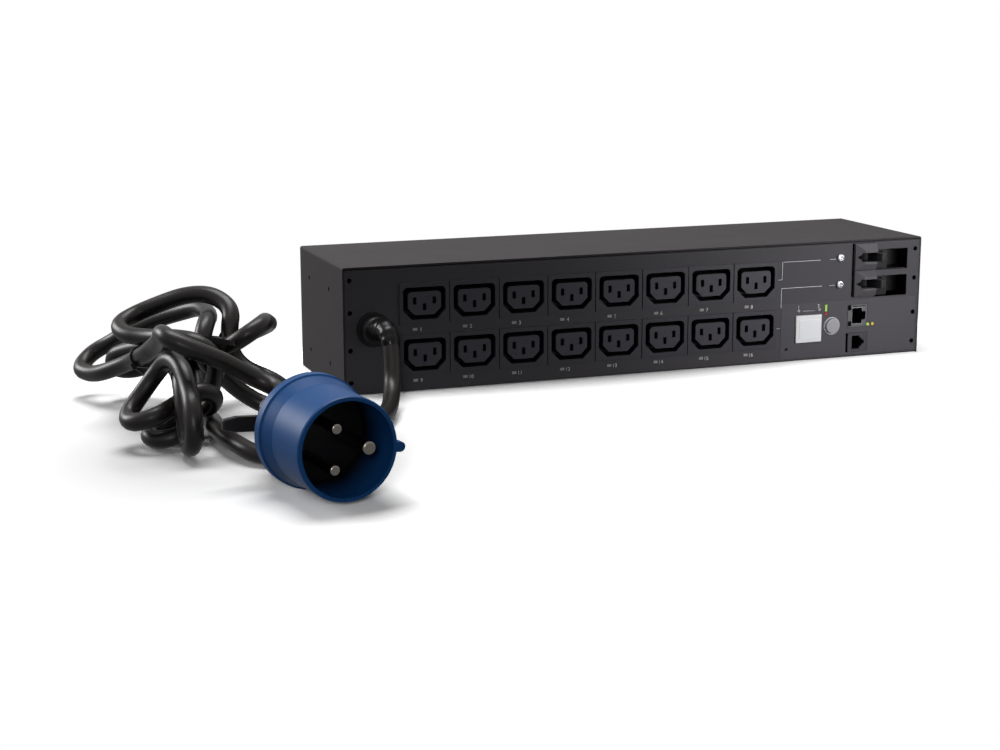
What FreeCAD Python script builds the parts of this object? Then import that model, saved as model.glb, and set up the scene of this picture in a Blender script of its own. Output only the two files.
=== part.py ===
import FreeCAD, Part
import math
import os

# Rack power distribution unit, two rack units high, with sixteen appliance outlets.
# Frame: origin at the middle of the case's bottom face, +X to the right seen from the front,
# +Y to the back, +Z up. All sizes are in millimetres.

V = FreeCAD.Vector

# Case
case_width = 448.0
case_depth = 116.0
case_height = 88.0
sheet = 1.2
bend_radius = 1.6
seam_gap = 0.2
lid_gap = 0.5
tray_flange = 11.0
panel_return = 10.0
rear_lip = 13.0

# Outlets: two rows on one grid, as many columns as fit between the cord entry and the control area.
# Of the panel height that the rows and their marks leave free, outlet_low_share lies below them.
outlet_rows = 2
outlet_pitch_x = 36.07
outlet_pitch_z = 35.62
first_outlet_x = 57.2
outlet_low_share = 0.3423
flange_width = 35.4
flange_height = 28.2
flange_proud = 1.5
outlet_recess_width = 30.4
outlet_recess_height = 22.4
outlet_recess_depth = 19.0
outlet_core_width = 23.6
outlet_core_height = 16.0
outlet_wall = 1.3
outlet_depth = 24.0
outlet_key_chamfer = 6.4
outlet_round = 3.2
core_key_chamfer = 4.8
core_round = 2.4
core_play = 0.05
slot_width = 2.6
slot_height = 5.0
slot_spacing = 14.0
live_slot_rise = 1.7
earth_slot_drop = 2.6
contact_play = 0.1
contact_wall = 0.6
contact_setback = 3.0
tab_length = 7.0
cutout_play = 0.3

# Marks beside each outlet
outlet_led_width = 3.2
outlet_led_height = 1.9
outlet_led_offset_x = -6.6
outlet_led_drop = 17.9
lens_proud = 0.35
lens_depth = 5.0
hole_play = 0.15

# Circuit breakers, one above the other at the right. They share the height above breaker_low_z.
# Places across the panel are counted from the case's right edge, here and in the control area.
breaker_low_z = 45.6
breaker_top_gap = 3.0
breaker_play = 0.4
breaker_pivot_x = 42.3
breaker_length = 63.5
breaker_depth = 56.0
breaker_screw_x = 68.4
breaker_screw_radius = 1.7
breaker_head_radius = 3.0
breaker_head_height = 1.9
boss_left = 57.2
boss_right = 39.8
boss_base_proud = 2.6
boss_proud = 6.0
boss_slope = 4.7
boss_left_slope = 6.5
window_left = 58.3
window_right = 11.4
window_rim = 3.9
boss_gap = 0.8
window_drop = 3.1
wedge_start = 1.0
wedge_depth = 5.0
shoulder_right = 28.8
terminal_recess = 13.0
toggle_hub_radius = 7.0
toggle_width = 6.2
toggle_play = 0.3
toggle_pivot_depth = 9.0
toggle_reach = 20.5
toggle_root = 7.4
toggle_tip = 5.0
toggle_rest_lean = 14.0
toggle_pin_radius = 1.5
toggle_pin_length = 2.0
pin_play = 0.05

# Control area at the bottom right
overlay_left = 116.4
overlay_right = 3.4
overlay_bottom = 2.2
overlay_top = 43.0
overlay_thick = 0.25
overlay_play = 0.5
display_x = 93.8
display_z = 23.8
display_width = 21.4
display_height = 20.4
display_proud = 1.4
button_x = 74.2
button_z = 24.6
button_radius = 5.5
button_proud = 2.6
button_travel = 0.8
button_flange = 1.5
button_stem_radius = 2.2
status_x = 79.1
status_z = 38.3
status_width = 1.9
status_height = 5.0
red_status_z = 34.1
red_status_height = 1.7
bank_led_radius = 1.1
bank_led_left_x = 101.8
bank_led_right_x = 84.6
bank_led_z = 37.6
link_led_radius = 1.2
link_led_green_x = 43.4
link_led_yellow_x = 39.5
link_led_z = 24.1
reset_x = 111.5
reset_z = 9.2
reset_radius = 0.8
board_y = 20.0
board_thick = 1.6
control_board_left = 115.0
control_board_right = 35.0
control_board_bottom = 3.4
control_board_top = 43.4
network_x = 52.7
network_z = 31.0
network_width = 16.0
network_height = 16.6
network_cavity_depth = 14.0
serial_x = 52.0
serial_z = 10.9
serial_width = 16.0
serial_height = 14.0
serial_slot = 1.8
jack_proud = 0.3
latch_tab_width = 6.2

# Boards and what stands on them
relay_board_front_gap = 10.4
relay_board_back_gap = 6.0
relay_board_overhang = 12.6
relay_margin = 4.0
standoff_height = 7.0
standoff_radius = 2.8
relay_width = 15.4
relay_height = 15.2
relay_row_gap = 6.0
sensor_outer = 9.5
sensor_inner = 4.0
sensor_thick = 9.0
sensor_front_gap = 4.2
sensor_back_gap = 2.0
transformer_width = 44.0
transformer_depth = 34.0
transformer_height = 38.0
transformer_x = 90.0
transformer_back_gap = 8.4

# Supply terminals and the earth stud, placed from the cord entry and from the front
terminal_block_shift = 7.0
terminal_block_set = 70.0
terminal_block_width = 18.0
terminal_block_depth = 16.0
terminal_block_height = 20.0
terminal_spacing = 9.0
terminal_z = 11.0
terminal_screw_z = 16.5
terminal_screw_radius = 2.0
earth_stud_shift = 8.0
earth_stud_set = 40.0
earth_stud_height = 15.0
earth_stud_radius = 2.4
earth_nut_radius = 4.6
earth_nut_height = 4.0
earth_tag_radius = 4.8
earth_tag_thick = 2.2
earth_tag_length = 12.0
earth_washer_thick = 1.0

# Bracket holes in the front and the sides
bracket_hole_radius = 1.7
front_hole_inset = 4.9
front_hole_inner = 13.0
front_hole_rim = 8.9
side_hole_front = 36.2
side_hole_back_gap = 25.6
side_hole_low = 16.2
side_hole_top_gap = 19.6
cover_screw_radius = 1.5
cover_screw_head = 2.8
cover_screw_head_height = 1.7
cover_screw_count = 4
cover_screw_inset = 30.0

# Cord entry
cord_diameter = 12.0
entry_x = 21.0
entry_z = 45.0
bushing_radius = 9.6
bushing_flange = 12.0
bushing_flange_thick = 2.2
bushing_proud = 10.0
bushing_inside = 14.0
bushing_nut_radius = 12.5
bushing_nut_thick = 5.0
lead_radius = 1.7
lead_spacing = 7.2
lead_straight = 12.0
lead_slope_reach = 26.0
lead_slope_drop = 16.0
lead_slope_shift = 2.0
lead_approach = 22.0
lead_insertion = 7.0

# Plug: pin-and-sleeve plug lying in front of the left end of the case
plug_tip_x = -294.9
plug_tip_y = -327.8
plug_tip_z = 32.6
plug_turn = 8.6
plug_roll = -4.0
shroud_radius = 29.0
shroud_wall = 2.5
shroud_length = 36.5
shroud_floor = 41.0
collar_radius = 32.6
collar_front = 46.0
collar_back = 53.0
pin_circle = 13.0
power_pin_radius = 3.0
earth_pin_radius = 4.0
pin_setback = 1.0
pin_tail = 10.0
key_width = 5.6
key_height = 4.8
housing_radius = 28.0
housing_wall = 2.6
housing_shoulder = 61.0
housing_neck_radius = 17.6
housing_end = 86.0
housing_lever_reach = 36.0
housing_lever_height = 8.6
housing_lever_thick = 4.0
gland_nut_radius = 15.2
gland_nut_end = 99.0
gland_mouth_radius = 9.0

# Where the cord leaves the plug
plug_tip = V(plug_tip_x, plug_tip_y, plug_tip_z)
plug_axis = V(-math.sin(math.radians(plug_turn)), math.cos(math.radians(plug_turn)), 0)
plug_cord_end = tuple(plug_tip + plug_axis * gland_nut_end)

# Cord route: from the case to the hank, and from the hank to the plug
case_route = [
    (-203.0, -68.0, 45.0), (-203.0, -84.0, 45.0), (-203.4, -98.0, 38.5), (-204.0, -107.0, 24.5),
    (-208.0, -120.0, 12.0), (-219.0, -143.0, 6.2), (-239.0, -174.0, 6.1), (-262.0, -199.0, 6.2),
    (-279.0, -212.5, 6.1), (-299.5, -218.0, 6.2), (-318.0, -211.5, 6.1), (-330.5, -196.0, 6.2),
    (-335.0, -176.0, 6.1), (-335.0, -156.0, 6.1)]
plug_route = [
    (-354.0, -160.0, 69.0), (-354.0, -175.0, 69.0), (-348.0, -187.0, 65.0), (-334.0, -190.0, 57.0),
    (-321.0, -186.0, 48.0), (-313.0, -193.5, 39.0), (-312.8, -209.4, 32.6), plug_cord_end]
hank_low_top = 40.0
hank_top = 82.0
hank_low_outline = [
    (-396, 4), (-390, 21), (-376, 20), (-352, -6), (-322, -34), (-290, -44), (-270, -52), (-269, -124),
    (-284, -136), (-322, -156), (-347, -156), (-349, -214), (-367, -214), (-391, -184), (-390, -150),
    (-372, -96), (-380, -24)]
hank_high_outline = [
    (-380, -62), (-366, -30), (-322, -34), (-270, -44), (-270, -108), (-300, -134), (-330, -148),
    (-342, -160), (-364, -160), (-376, -120)]
tie_places = [((-366.0, -34.0, 33.0), 22.0, 28.0, -62.0), ((-318.0, -90.0, 56.0), 30.0, 24.0, 12.0)]
tie_band = 2.0
tie_thick = 1.1

# Values worked out from the ones above
left_edge = -case_width / 2
front_y = -case_depth / 2
back_y = case_depth / 2
panel_back_y = front_y + sheet
tray_half = case_width / 2 - sheet - seam_gap
tray_top = case_height - sheet - lid_gap
rear_panel_back_y = back_y - sheet - seam_gap
rear_panel_front_y = rear_panel_back_y - sheet
cutout_width = outlet_recess_width + 2 * outlet_wall + 2 * cutout_play
cutout_height = outlet_recess_height + 2 * outlet_wall + 2 * cutout_play
cord_radius = cord_diameter / 2
entry = V(left_edge + entry_x, front_y, entry_z)
control_board_y = front_y + board_y
outlet_room = case_width - overlay_left - first_outlet_x - flange_width / 2
outlet_columns = 1 + int(outlet_room / outlet_pitch_x)
low_row_rise = outlet_led_drop + outlet_led_height / 2
outlet_block_height = low_row_rise + (outlet_rows - 1) * outlet_pitch_z + flange_height / 2
low_row_z = low_row_rise + outlet_low_share * (case_height - outlet_block_height)
breaker_height = (case_height - breaker_top_gap - breaker_low_z - breaker_play) / 2
breaker_half = breaker_height / 2
breaker_pitch = breaker_height + breaker_play
breaker_middle_z = breaker_low_z + breaker_height + breaker_play / 2
window_height = breaker_height - window_rim
relay_board_z = sheet + standoff_height
relay_board_left = first_outlet_x - relay_board_overhang
relay_board_right = first_outlet_x + (outlet_columns - 1) * outlet_pitch_x + relay_board_overhang
relay_board_front = front_y + outlet_depth + tab_length + relay_board_front_gap
relay_board_back = rear_panel_front_y - relay_board_back_gap
sensor_front_y = relay_board_back - sensor_back_gap - sensor_thick
relay_room = sensor_front_y - sensor_front_gap - relay_board_front - relay_margin
relay_depth = (relay_room - relay_row_gap) / 2
front_hole_outer = case_height / 2 - front_hole_rim
side_hole_back = case_depth - side_hole_back_gap
side_hole_high = case_height - side_hole_top_gap


def box(x0, x1, y0, y1, z0, z1):
    return Part.makeBox(x1 - x0, y1 - y0, z1 - z0, V(x0, y0, z0))


def round_bar(radius, length, start, direction):
    return Part.makeCylinder(radius, length, start, direction)


def front_hole(x, z, radius, depth=None):
    reach = depth or sheet
    return round_bar(radius, reach + 2.0, V(x, front_y - 1.0, z), V(0, 1, 0))


def extrude_outline(points, direction):
    closed = [V(*p) for p in points]
    face = Part.Face(Part.makePolygon(closed + [closed[0]]))
    return face.extrude(direction)


def fillet_where(shape, radius, test):
    edges = [e for e in shape.Edges if test(e)]
    return shape.makeFillet(radius, edges) if edges else shape


def runs_along(edge, axis):
    if not isinstance(edge.Curve, Part.Line):
        return False
    way = edge.Curve.Direction
    return abs(abs(getattr(way, axis)) - 1) < 1e-6


def from_left(x):
    return left_edge + x


def from_right(x):
    return case_width / 2 - x


def outlet_places():
    places = []
    for row in range(outlet_rows):
        for column in range(outlet_columns):
            x = from_left(first_outlet_x + column * outlet_pitch_x)
            z = low_row_z + (outlet_rows - 1 - row) * outlet_pitch_z
            places.append((x, z))
    return places


def breaker_places():
    return [breaker_middle_z + breaker_pitch / 2, breaker_middle_z - breaker_pitch / 2]


# Appliance-connector outline: two rounded upper corners and two sloping lower ones
def keyed_outline(width, height, key, rounding, y):
    w = width / 2
    h = height / 2
    slant = rounding * (1 - math.sqrt(0.5))
    edges = [
        Part.makeLine(V(-w + key, y, -h), V(w - key, y, -h)),
        Part.makeLine(V(w - key, y, -h), V(w, y, -h + key)),
        Part.makeLine(V(w, y, -h + key), V(w, y, h - rounding)),
        Part.Arc(V(w, y, h - rounding), V(w - slant, y, h - slant), V(w - rounding, y, h)).toShape(),
        Part.makeLine(V(w - rounding, y, h), V(-w + rounding, y, h)),
        Part.Arc(V(-w + rounding, y, h), V(-w + slant, y, h - slant), V(-w, y, h - rounding)).toShape(),
        Part.makeLine(V(-w, y, h - rounding), V(-w, y, -h + key)),
        Part.makeLine(V(-w, y, -h + key), V(-w + key, y, -h))]
    return Part.Face(Part.Wire(edges))


def slot_centres():
    half = slot_spacing / 2
    return [(-half, live_slot_rise), (half, live_slot_rise), (0.0, -earth_slot_drop)]


# Outlet housing: the flange and a keyed sleeve, with a floor that the core passes through
def outlet_housing():
    half_w = flange_width / 2
    half_h = flange_height / 2
    flange = box(-half_w, half_w, -flange_proud, 0, -half_h, half_h)
    shell = keyed_outline(outlet_recess_width + 2 * outlet_wall, outlet_recess_height + 2 * outlet_wall,
                          outlet_key_chamfer, outlet_round, 0).extrude(V(0, outlet_depth, 0))
    recess = keyed_outline(outlet_recess_width, outlet_recess_height, outlet_key_chamfer, outlet_round,
                           -flange_proud - 1).extrude(V(0, outlet_recess_depth + 1, 0))
    core_hole = outlet_core_block(core_play, 1.0)
    return flange.fuse(shell).cut([recess, core_hole]).removeSplitter()


def outlet_core_block(play, overrun):
    width = outlet_core_width + 2 * play
    height = outlet_core_height + 2 * play
    outline = keyed_outline(width, height, core_key_chamfer, core_round, -flange_proud - overrun)
    return outline.extrude(V(0, outlet_depth + flange_proud + 2 * overrun, 0))


# Core that carries the three contacts in its slots
def outlet_core():
    core = outlet_core_block(0, 0)
    half_w = slot_width / 2
    half_h = slot_height / 2
    for x, z in slot_centres():
        core = core.cut(box(x - half_w, x + half_w, -flange_proud - 1, outlet_depth + 1, z - half_h, z + half_h))
    return core


def outlet_cores():
    core = outlet_core()
    return Part.makeCompound([core.translated(V(x, front_y, z)) for x, z in outlet_places()])


# Female contact: a spring sleeve that lines the slot, with a flat tab out of the back
def contact_solid(x, z):
    w = slot_width / 2 - contact_play
    h = slot_height / 2 - contact_play
    start = contact_setback
    sleeve = box(x - w, x + w, start, outlet_depth, z - h, z + h)
    bore = box(x - w + contact_wall, x + w - contact_wall, start - 1, outlet_depth - 1.0,
               z - h + contact_wall, z + h - contact_wall)
    tab = box(x - 0.4, x + 0.4, outlet_depth - 1.0, outlet_depth + tab_length, z - h, z + h)
    return sleeve.cut(bore).fuse(tab).removeSplitter()


def contacts(index):
    x, z = slot_centres()[index]
    piece = contact_solid(x, z)
    return Part.makeCompound([piece.translated(V(px, front_y, pz)) for px, pz in outlet_places()])


def outlet_led(x, z):
    w = outlet_led_width / 2
    h = outlet_led_height / 2
    return box(x - w, x + w, front_y - lens_proud, panel_back_y + lens_depth, z - h, z + h)


def outlet_led_place(place):
    return (place[0] + outlet_led_offset_x, place[1] - outlet_led_drop)


def outlet_leds():
    return Part.makeCompound([outlet_led(*outlet_led_place(p)) for p in outlet_places()])


def front_hole_places(offset):
    middle = case_height / 2
    inset = case_width / 2 - front_hole_inset
    return [(sx * inset, middle + sz * offset) for sx in (-1, 1) for sz in (-1, 1)]


def panel_cutouts():
    cuts = []
    for x, z in outlet_places():
        cuts.append(box(x - cutout_width / 2, x + cutout_width / 2, front_y - 1, panel_back_y + 1,
                        z - cutout_height / 2, z + cutout_height / 2))
        lx, lz = outlet_led_place((x, z))
        w = outlet_led_width / 2 + hole_play
        h = outlet_led_height / 2 + hole_play
        cuts.append(box(lx - w, lx + w, front_y - 1, panel_back_y + 1, lz - h, lz + h))
    for offset in (front_hole_inner, front_hole_outer):
        for x, z in front_hole_places(offset):
            cuts.append(front_hole(x, z, bracket_hole_radius))
    low = breaker_places()[1] - breaker_half - 0.2
    high = breaker_places()[0] + breaker_half + 0.2
    cuts.append(box(from_right(window_left), from_right(boss_right) + boss_gap, front_y - 1, panel_back_y + 1, low, high))
    for z in breaker_places():
        low, high = window_limits(z)
        cuts.append(box(from_right(boss_right), from_right(window_right), front_y - 1, panel_back_y + 1, low, high))
        cuts.append(front_hole(from_right(breaker_screw_x), z, breaker_screw_radius + hole_play))
    return cuts + control_cutouts(hole_play)


# The window to the right of a breaker sits a little lower than the breaker itself
def window_limits(z):
    middle = z - window_drop
    return middle - window_height / 2, middle + window_height / 2


def centred_cut(x, z, width, height, play):
    middle = from_right(x)
    return box(middle - width / 2 - play, middle + width / 2 + play, front_y - 1, panel_back_y + 1,
               z - height / 2 - play, z + height / 2 + play)


def serial_cut(play):
    right = from_right(serial_x) + serial_width / 2 + play
    left = from_right(serial_x) - serial_width / 2 - serial_slot
    half = serial_height / 2 + play
    return box(left, right, front_y - 1, panel_back_y + 1, serial_z - half, serial_z + half)


# The same holes go through the front panel and, a little wider, through the overlay
def control_cutouts(play):
    cuts = [
        centred_cut(display_x, display_z, display_width, display_height, play),
        centred_cut(status_x, status_z, status_width, status_height, play),
        centred_cut(status_x, red_status_z, status_width, red_status_height, play),
        centred_cut(network_x, network_z, network_width, network_height, play),
        serial_cut(play),
        front_hole(from_right(button_x), button_z, button_radius + 0.3 + play),
        front_hole(from_right(reset_x), reset_z, reset_radius + play)]
    for x in (bank_led_left_x, bank_led_right_x):
        cuts.append(front_hole(from_right(x), bank_led_z, bank_led_radius + play))
    for x in (link_led_green_x, link_led_yellow_x):
        cuts.append(front_hole(from_right(x), link_led_z, link_led_radius + play))
    return cuts


def board_standoffs():
    studs = []
    inset = 6.0
    xs = [from_left(relay_board_left) + inset, from_left((relay_board_left + relay_board_right) / 2),
          from_left(relay_board_right) - inset]
    for x in xs:
        for y in (relay_board_front + inset, relay_board_back - inset):
            studs.append(round_bar(standoff_radius, standoff_height, V(x, y, sheet), V(0, 0, 1)))
    for x, z in control_board_fixings():
        studs.append(round_bar(standoff_radius, board_y - sheet, V(x, panel_back_y, z), V(0, 1, 0)))
    return studs


def control_board_fixings():
    left = from_right(control_board_left) + 4.0
    low = control_board_bottom + 9.0
    return [(left, control_board_top - 4.0), (left, low + 5.5),
            (from_right(control_board_right) - 3.2, control_board_top - 3.6),
            (from_right(control_board_right) - 3.2, control_board_bottom + 3.6)]


def chassis_tray():
    floor = box(-tray_half, tray_half, front_y, rear_panel_back_y, 0, sheet)
    front = box(-tray_half, tray_half, front_y, panel_back_y, 0, tray_top)
    lip = box(-tray_half, tray_half, front_y, front_y + panel_return, tray_top - sheet, tray_top)
    rear = box(-tray_half, tray_half, rear_panel_front_y, rear_panel_back_y, 0, tray_top)
    rear_return = box(-tray_half, tray_half, rear_panel_back_y - panel_return, rear_panel_back_y,
                      tray_top - sheet, tray_top)
    tray = floor.fuse([front, lip, rear, rear_return])
    for side in (-1, 1):
        x0 = min(side * tray_half, side * (tray_half - sheet))
        tray = tray.fuse(box(x0, x0 + sheet, front_y, rear_panel_back_y, 0, tray_flange))
    tray = tray.removeSplitter()
    outer = (front_y, rear_panel_back_y)

    def is_bend(edge):
        middle = edge.CenterOfMass
        across = runs_along(edge, "x") and edge.Length > case_width / 2
        on_face = min(abs(middle.y - y) for y in outer) < 1e-6
        at_end = min(abs(middle.z), abs(middle.z - tray_top)) < 1e-6
        return across and on_face and at_end
    tray = fillet_where(tray, bend_radius, is_bend)
    tray = tray.fuse(board_standoffs())
    cuts = panel_cutouts()
    cuts.append(front_hole(entry.x, entry.z, bushing_radius + hole_play))
    for x, z in cover_screw_places():
        cuts.append(round_bar(cover_screw_radius + 0.1, 6.0, V(x, rear_panel_front_y - 2, z), V(0, 1, 0)))
    return tray.cut(cuts).removeSplitter()


def cover_screw_places():
    gap = (case_width - 2 * cover_screw_inset) / (cover_screw_count - 1)
    z = case_height - rear_lip / 2 - 0.5
    return [(left_edge + cover_screw_inset + i * gap, z) for i in range(cover_screw_count)]


def side_hole_places():
    return [(front_y + y, z) for y in (side_hole_front, side_hole_back) for z in (side_hole_low, side_hole_high)]


# Lid: the top and both sides in one folded sheet, with a short lip down the back
def top_cover():
    half = case_width / 2
    outer = box(-half, half, front_y, back_y, 0, case_height)
    outer = fillet_where(outer, bend_radius, lambda e: runs_along(e, "y") and e.CenterOfMass.z > sheet)
    inner = box(-half + sheet, half - sheet, front_y - 1, back_y + 1, -1, case_height - sheet)
    cover = outer.cut(inner)
    lip = box(-half + sheet, half - sheet, back_y - sheet, back_y, case_height - rear_lip, case_height - sheet)
    cover = cover.fuse(lip)
    cuts = []
    for y, z in side_hole_places():
        for side in (-1, 1):
            cuts.append(round_bar(bracket_hole_radius, sheet + 2, V(side * (half + 1), y, z), V(-side, 0, 0)))
    for x, z in cover_screw_places():
        cuts.append(round_bar(cover_screw_radius + 0.2, sheet + 2, V(x, back_y - sheet - 1, z), V(0, 1, 0)))
    return cover.cut(cuts).removeSplitter()


def cross_recess(centre, outward, size, depth):
    turn = FreeCAD.Rotation(V(0, 0, 1), outward)
    bars = []
    for a, b in ((size, size * 0.28), (size * 0.28, size)):
        bars.append(Part.makeBox(a, b, depth * 2, V(-a / 2, -b / 2, -depth)))
    cross = bars[0].fuse(bars[1])
    cross.Placement = FreeCAD.Placement(centre, turn)
    return cross


def pan_screw(seat, outward, shank_radius, shank, head_radius, head_height):
    head = round_bar(head_radius, head_height, seat, outward)
    rim = [e for e in head.Edges if isinstance(e.Curve, Part.Circle)
           and (e.CenterOfMass - seat).dot(outward) > head_height / 2]
    head = head.makeFillet(head_height * 0.6, rim)
    body = head.fuse(round_bar(shank_radius, shank, seat, outward * -1))
    return body.cut(cross_recess(seat + outward * head_height, outward, head_radius * 1.1, 0.9))


def cover_screws():
    seat_y = back_y
    return Part.makeCompound([
        pan_screw(V(x, seat_y, z), V(0, 1, 0), cover_screw_radius, 6.0, cover_screw_head, cover_screw_head_height)
        for x, z in cover_screw_places()])


def breaker_screws():
    return Part.makeCompound([
        pan_screw(V(from_right(breaker_screw_x), front_y, z), V(0, -1, 0), breaker_screw_radius, 8.0,
                  breaker_head_radius, breaker_head_height)
        for z in breaker_places()])


# Sloping guard boss beside the toggle
def breaker_boss(z):
    x0 = from_right(boss_left)
    x1 = from_right(boss_right)
    base_y = front_y - boss_base_proud
    top_y = front_y - boss_proud
    block = box(x0, x1, base_y, panel_back_y + 0.5, z - breaker_half, z + breaker_half)
    low = Part.makePolygon([V(x0, base_y, z - breaker_half), V(x1, base_y, z - breaker_half),
                            V(x1, base_y, z + breaker_half), V(x0, base_y, z + breaker_half),
                            V(x0, base_y, z - breaker_half)])
    inner = breaker_half - boss_slope
    left = x0 + boss_left_slope
    high = Part.makePolygon([V(left, top_y, z - inner), V(x1 - 0.6, top_y, z - inner), V(x1 - 0.6, top_y, z + inner),
                             V(left, top_y, z + inner), V(left, top_y, z - inner)])
    return block.fuse(Part.makeLoft([low, high], True, True))


def toggle_pivot(z):
    return V(from_right(breaker_pivot_x), front_y + toggle_pivot_depth, z)


def breaker_body(z):
    pivot = toggle_pivot(z)
    left = pivot.x - breaker_length / 2
    right = left + breaker_length
    front = panel_back_y + 0.3
    back = front + breaker_depth
    body = box(left, right, front, back, z - breaker_half, z + breaker_half)
    body = body.fuse(breaker_boss(z))
    window_low, window_high = window_limits(z)
    low = max(window_low + 0.3, z - breaker_half + 0.2)
    high = window_high - 0.3
    body = body.fuse(box(from_right(boss_right) - 1, from_right(shoulder_right), front_y + 0.2, front + 1, low, high))
    recess = box(from_right(shoulder_right), from_right(window_right) + 0.4, front - 2, front + terminal_recess,
                 z - breaker_half - 1, window_high)
    body = body.cut(recess)
    pocket_radius = toggle_hub_radius + toggle_play
    pocket_half = toggle_width / 2 + toggle_play
    pocket = round_bar(pocket_radius, pocket_half * 2, pivot - V(0, 0, pocket_half), V(0, 0, 1))
    mouth = extrude_outline([
        (pivot.x - pocket_radius, pivot.y, z - pocket_half), (pivot.x + pocket_radius, pivot.y, z - pocket_half),
        (pivot.x + 12.4, front_y - 12, z - pocket_half), (pivot.x - 12.4, front_y - 12, z - pocket_half)],
        V(0, 0, pocket_half * 2))
    wedge_left = from_right(boss_left) + wedge_start
    wedge = extrude_outline([
        (wedge_left, front_y - 12, z - 0.4), (wedge_left, front_y - 12, z + 0.4),
        (pivot.x - pocket_radius, front_y - 12, z + pocket_half),
        (pivot.x - pocket_radius, front_y - 12, z - pocket_half)],
        V(0, 12 + wedge_depth - boss_base_proud, 0))
    reach = toggle_pin_length + 0.4
    pin_hole = round_bar(toggle_pin_radius + pin_play, 2 * (pocket_half + reach),
                         pivot - V(0, 0, pocket_half + reach), V(0, 0, 1))
    screw_hole = front_hole(from_right(breaker_screw_x), z, breaker_screw_radius, 10.0)
    return body.cut([pocket, mouth, wedge, pin_hole, screw_hole]).removeSplitter()


def breaker_toggle(z):
    pivot = toggle_pivot(z)
    half = toggle_width / 2
    hub = round_bar(toggle_hub_radius, toggle_width, pivot - V(0, 0, half), V(0, 0, 1))
    root = toggle_root / 2
    tip = toggle_tip / 2
    lever = extrude_outline([
        (pivot.x - root, pivot.y, z - half), (pivot.x + root, pivot.y, z - half),
        (pivot.x + tip, pivot.y - toggle_reach, z - half), (pivot.x - tip, pivot.y - toggle_reach, z - half)],
        V(0, 0, toggle_width))
    lever = fillet_where(lever, 1.2, lambda e: e.CenterOfMass.y < pivot.y - toggle_reach + 0.1)
    arm = toggle_pin_length + half + toggle_play
    pins = round_bar(toggle_pin_radius, 2 * arm, pivot - V(0, 0, arm), V(0, 0, 1))
    toggle = hub.fuse([lever, pins]).removeSplitter()
    toggle.rotate(pivot, V(0, 0, 1), toggle_rest_lean)
    return toggle


def control_board():
    y = control_board_y
    board = box(from_right(control_board_left), from_right(control_board_right), y, y + board_thick,
                control_board_bottom, control_board_top)
    return board


def control_overlay():
    sheet_box = box(from_right(overlay_left), from_right(overlay_right), front_y - overlay_thick, front_y,
                    overlay_bottom, overlay_top)
    sheet_box = fillet_where(sheet_box, 1.5, lambda e: runs_along(e, "y"))
    holes = control_cutouts(overlay_play)
    for offset in (front_hole_inner, front_hole_outer):
        for x, z in front_hole_places(offset):
            if x > 0 and z < case_height / 2:
                holes.append(front_hole(x, z, bracket_hole_radius + overlay_play))
    return sheet_box.cut(holes)


def display_module():
    block = box(from_right(display_x) - display_width / 2, from_right(display_x) + display_width / 2,
                front_y - display_proud, control_board_y, display_z - display_height / 2,
                display_z + display_height / 2)
    return fillet_where(block, 0.6, lambda e: e.CenterOfMass.y < front_y - display_proud + 0.01)


def button_switch():
    x = from_right(button_x)
    body = box(x - 6.0, x + 6.0, control_board_y - 4.0, control_board_y, button_z - 6.0, button_z + 6.0)
    return body.cut(round_bar(button_stem_radius + 0.3, 2.5, V(x, control_board_y - 4.5, button_z), V(0, 1, 0)))


def function_button():
    x = from_right(button_x)
    start = V(x, front_y - button_proud, button_z)
    flange_y = panel_back_y + 0.1
    cap = round_bar(button_radius, flange_y - start.y + 0.5, start, V(0, 1, 0))
    cap = fillet_where(cap, 0.8, lambda e: isinstance(e.Curve, Part.Circle)
                       and abs(e.CenterOfMass.y - start.y) < 0.01)
    flange = round_bar(button_radius + button_flange, 1.0, V(x, flange_y, button_z), V(0, 1, 0))
    stem_end = control_board_y - 4.0 + 2.0 - button_travel - 0.2
    stem = round_bar(button_stem_radius, stem_end - flange_y, V(x, flange_y, button_z), V(0, 1, 0))
    return cap.fuse([flange, stem]).removeSplitter()


def light_guide(x, z, width, height):
    w = width / 2
    h = height / 2
    middle = from_right(x)
    return box(middle - w, middle + w, front_y - lens_proud, control_board_y, z - h, z + h)


def round_guide(x, z, radius):
    start = V(from_right(x), front_y - lens_proud, z)
    return round_bar(radius, control_board_y - start.y, start, V(0, 1, 0))


def bank_leds():
    return Part.makeCompound([round_guide(x, bank_led_z, bank_led_radius)
                              for x in (bank_led_left_x, bank_led_right_x)])


def link_leds():
    return Part.makeCompound([round_guide(x, link_led_z, link_led_radius)
                              for x in (link_led_green_x, link_led_yellow_x)])


# Network socket on its side: eight-way cavity with the latch notch to the right
def network_jack():
    x = from_right(network_x)
    half_w = network_width / 2
    half_h = network_height / 2
    y0 = front_y - jack_proud
    shell = box(x - half_w, x + half_w, y0, control_board_y, network_z - half_h, network_z + half_h)
    cavity = box(x - 4.5, x + 3.9, y0 - 1, y0 + network_cavity_depth, network_z - 5.95, network_z + 5.95)
    notch = box(x + 3.9, x + 7.0, y0 - 1, y0 + network_cavity_depth,
                network_z - latch_tab_width / 2, network_z + latch_tab_width / 2)
    springs = [box(x - 7.4, x - 5.4, y0 - 1, y0 + 2.0, network_z + s * 6.4 - 1.1, network_z + s * 6.4 + 1.1)
               for s in (-1, 1)]
    return shell.cut([cavity, notch] + springs).removeSplitter()


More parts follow.
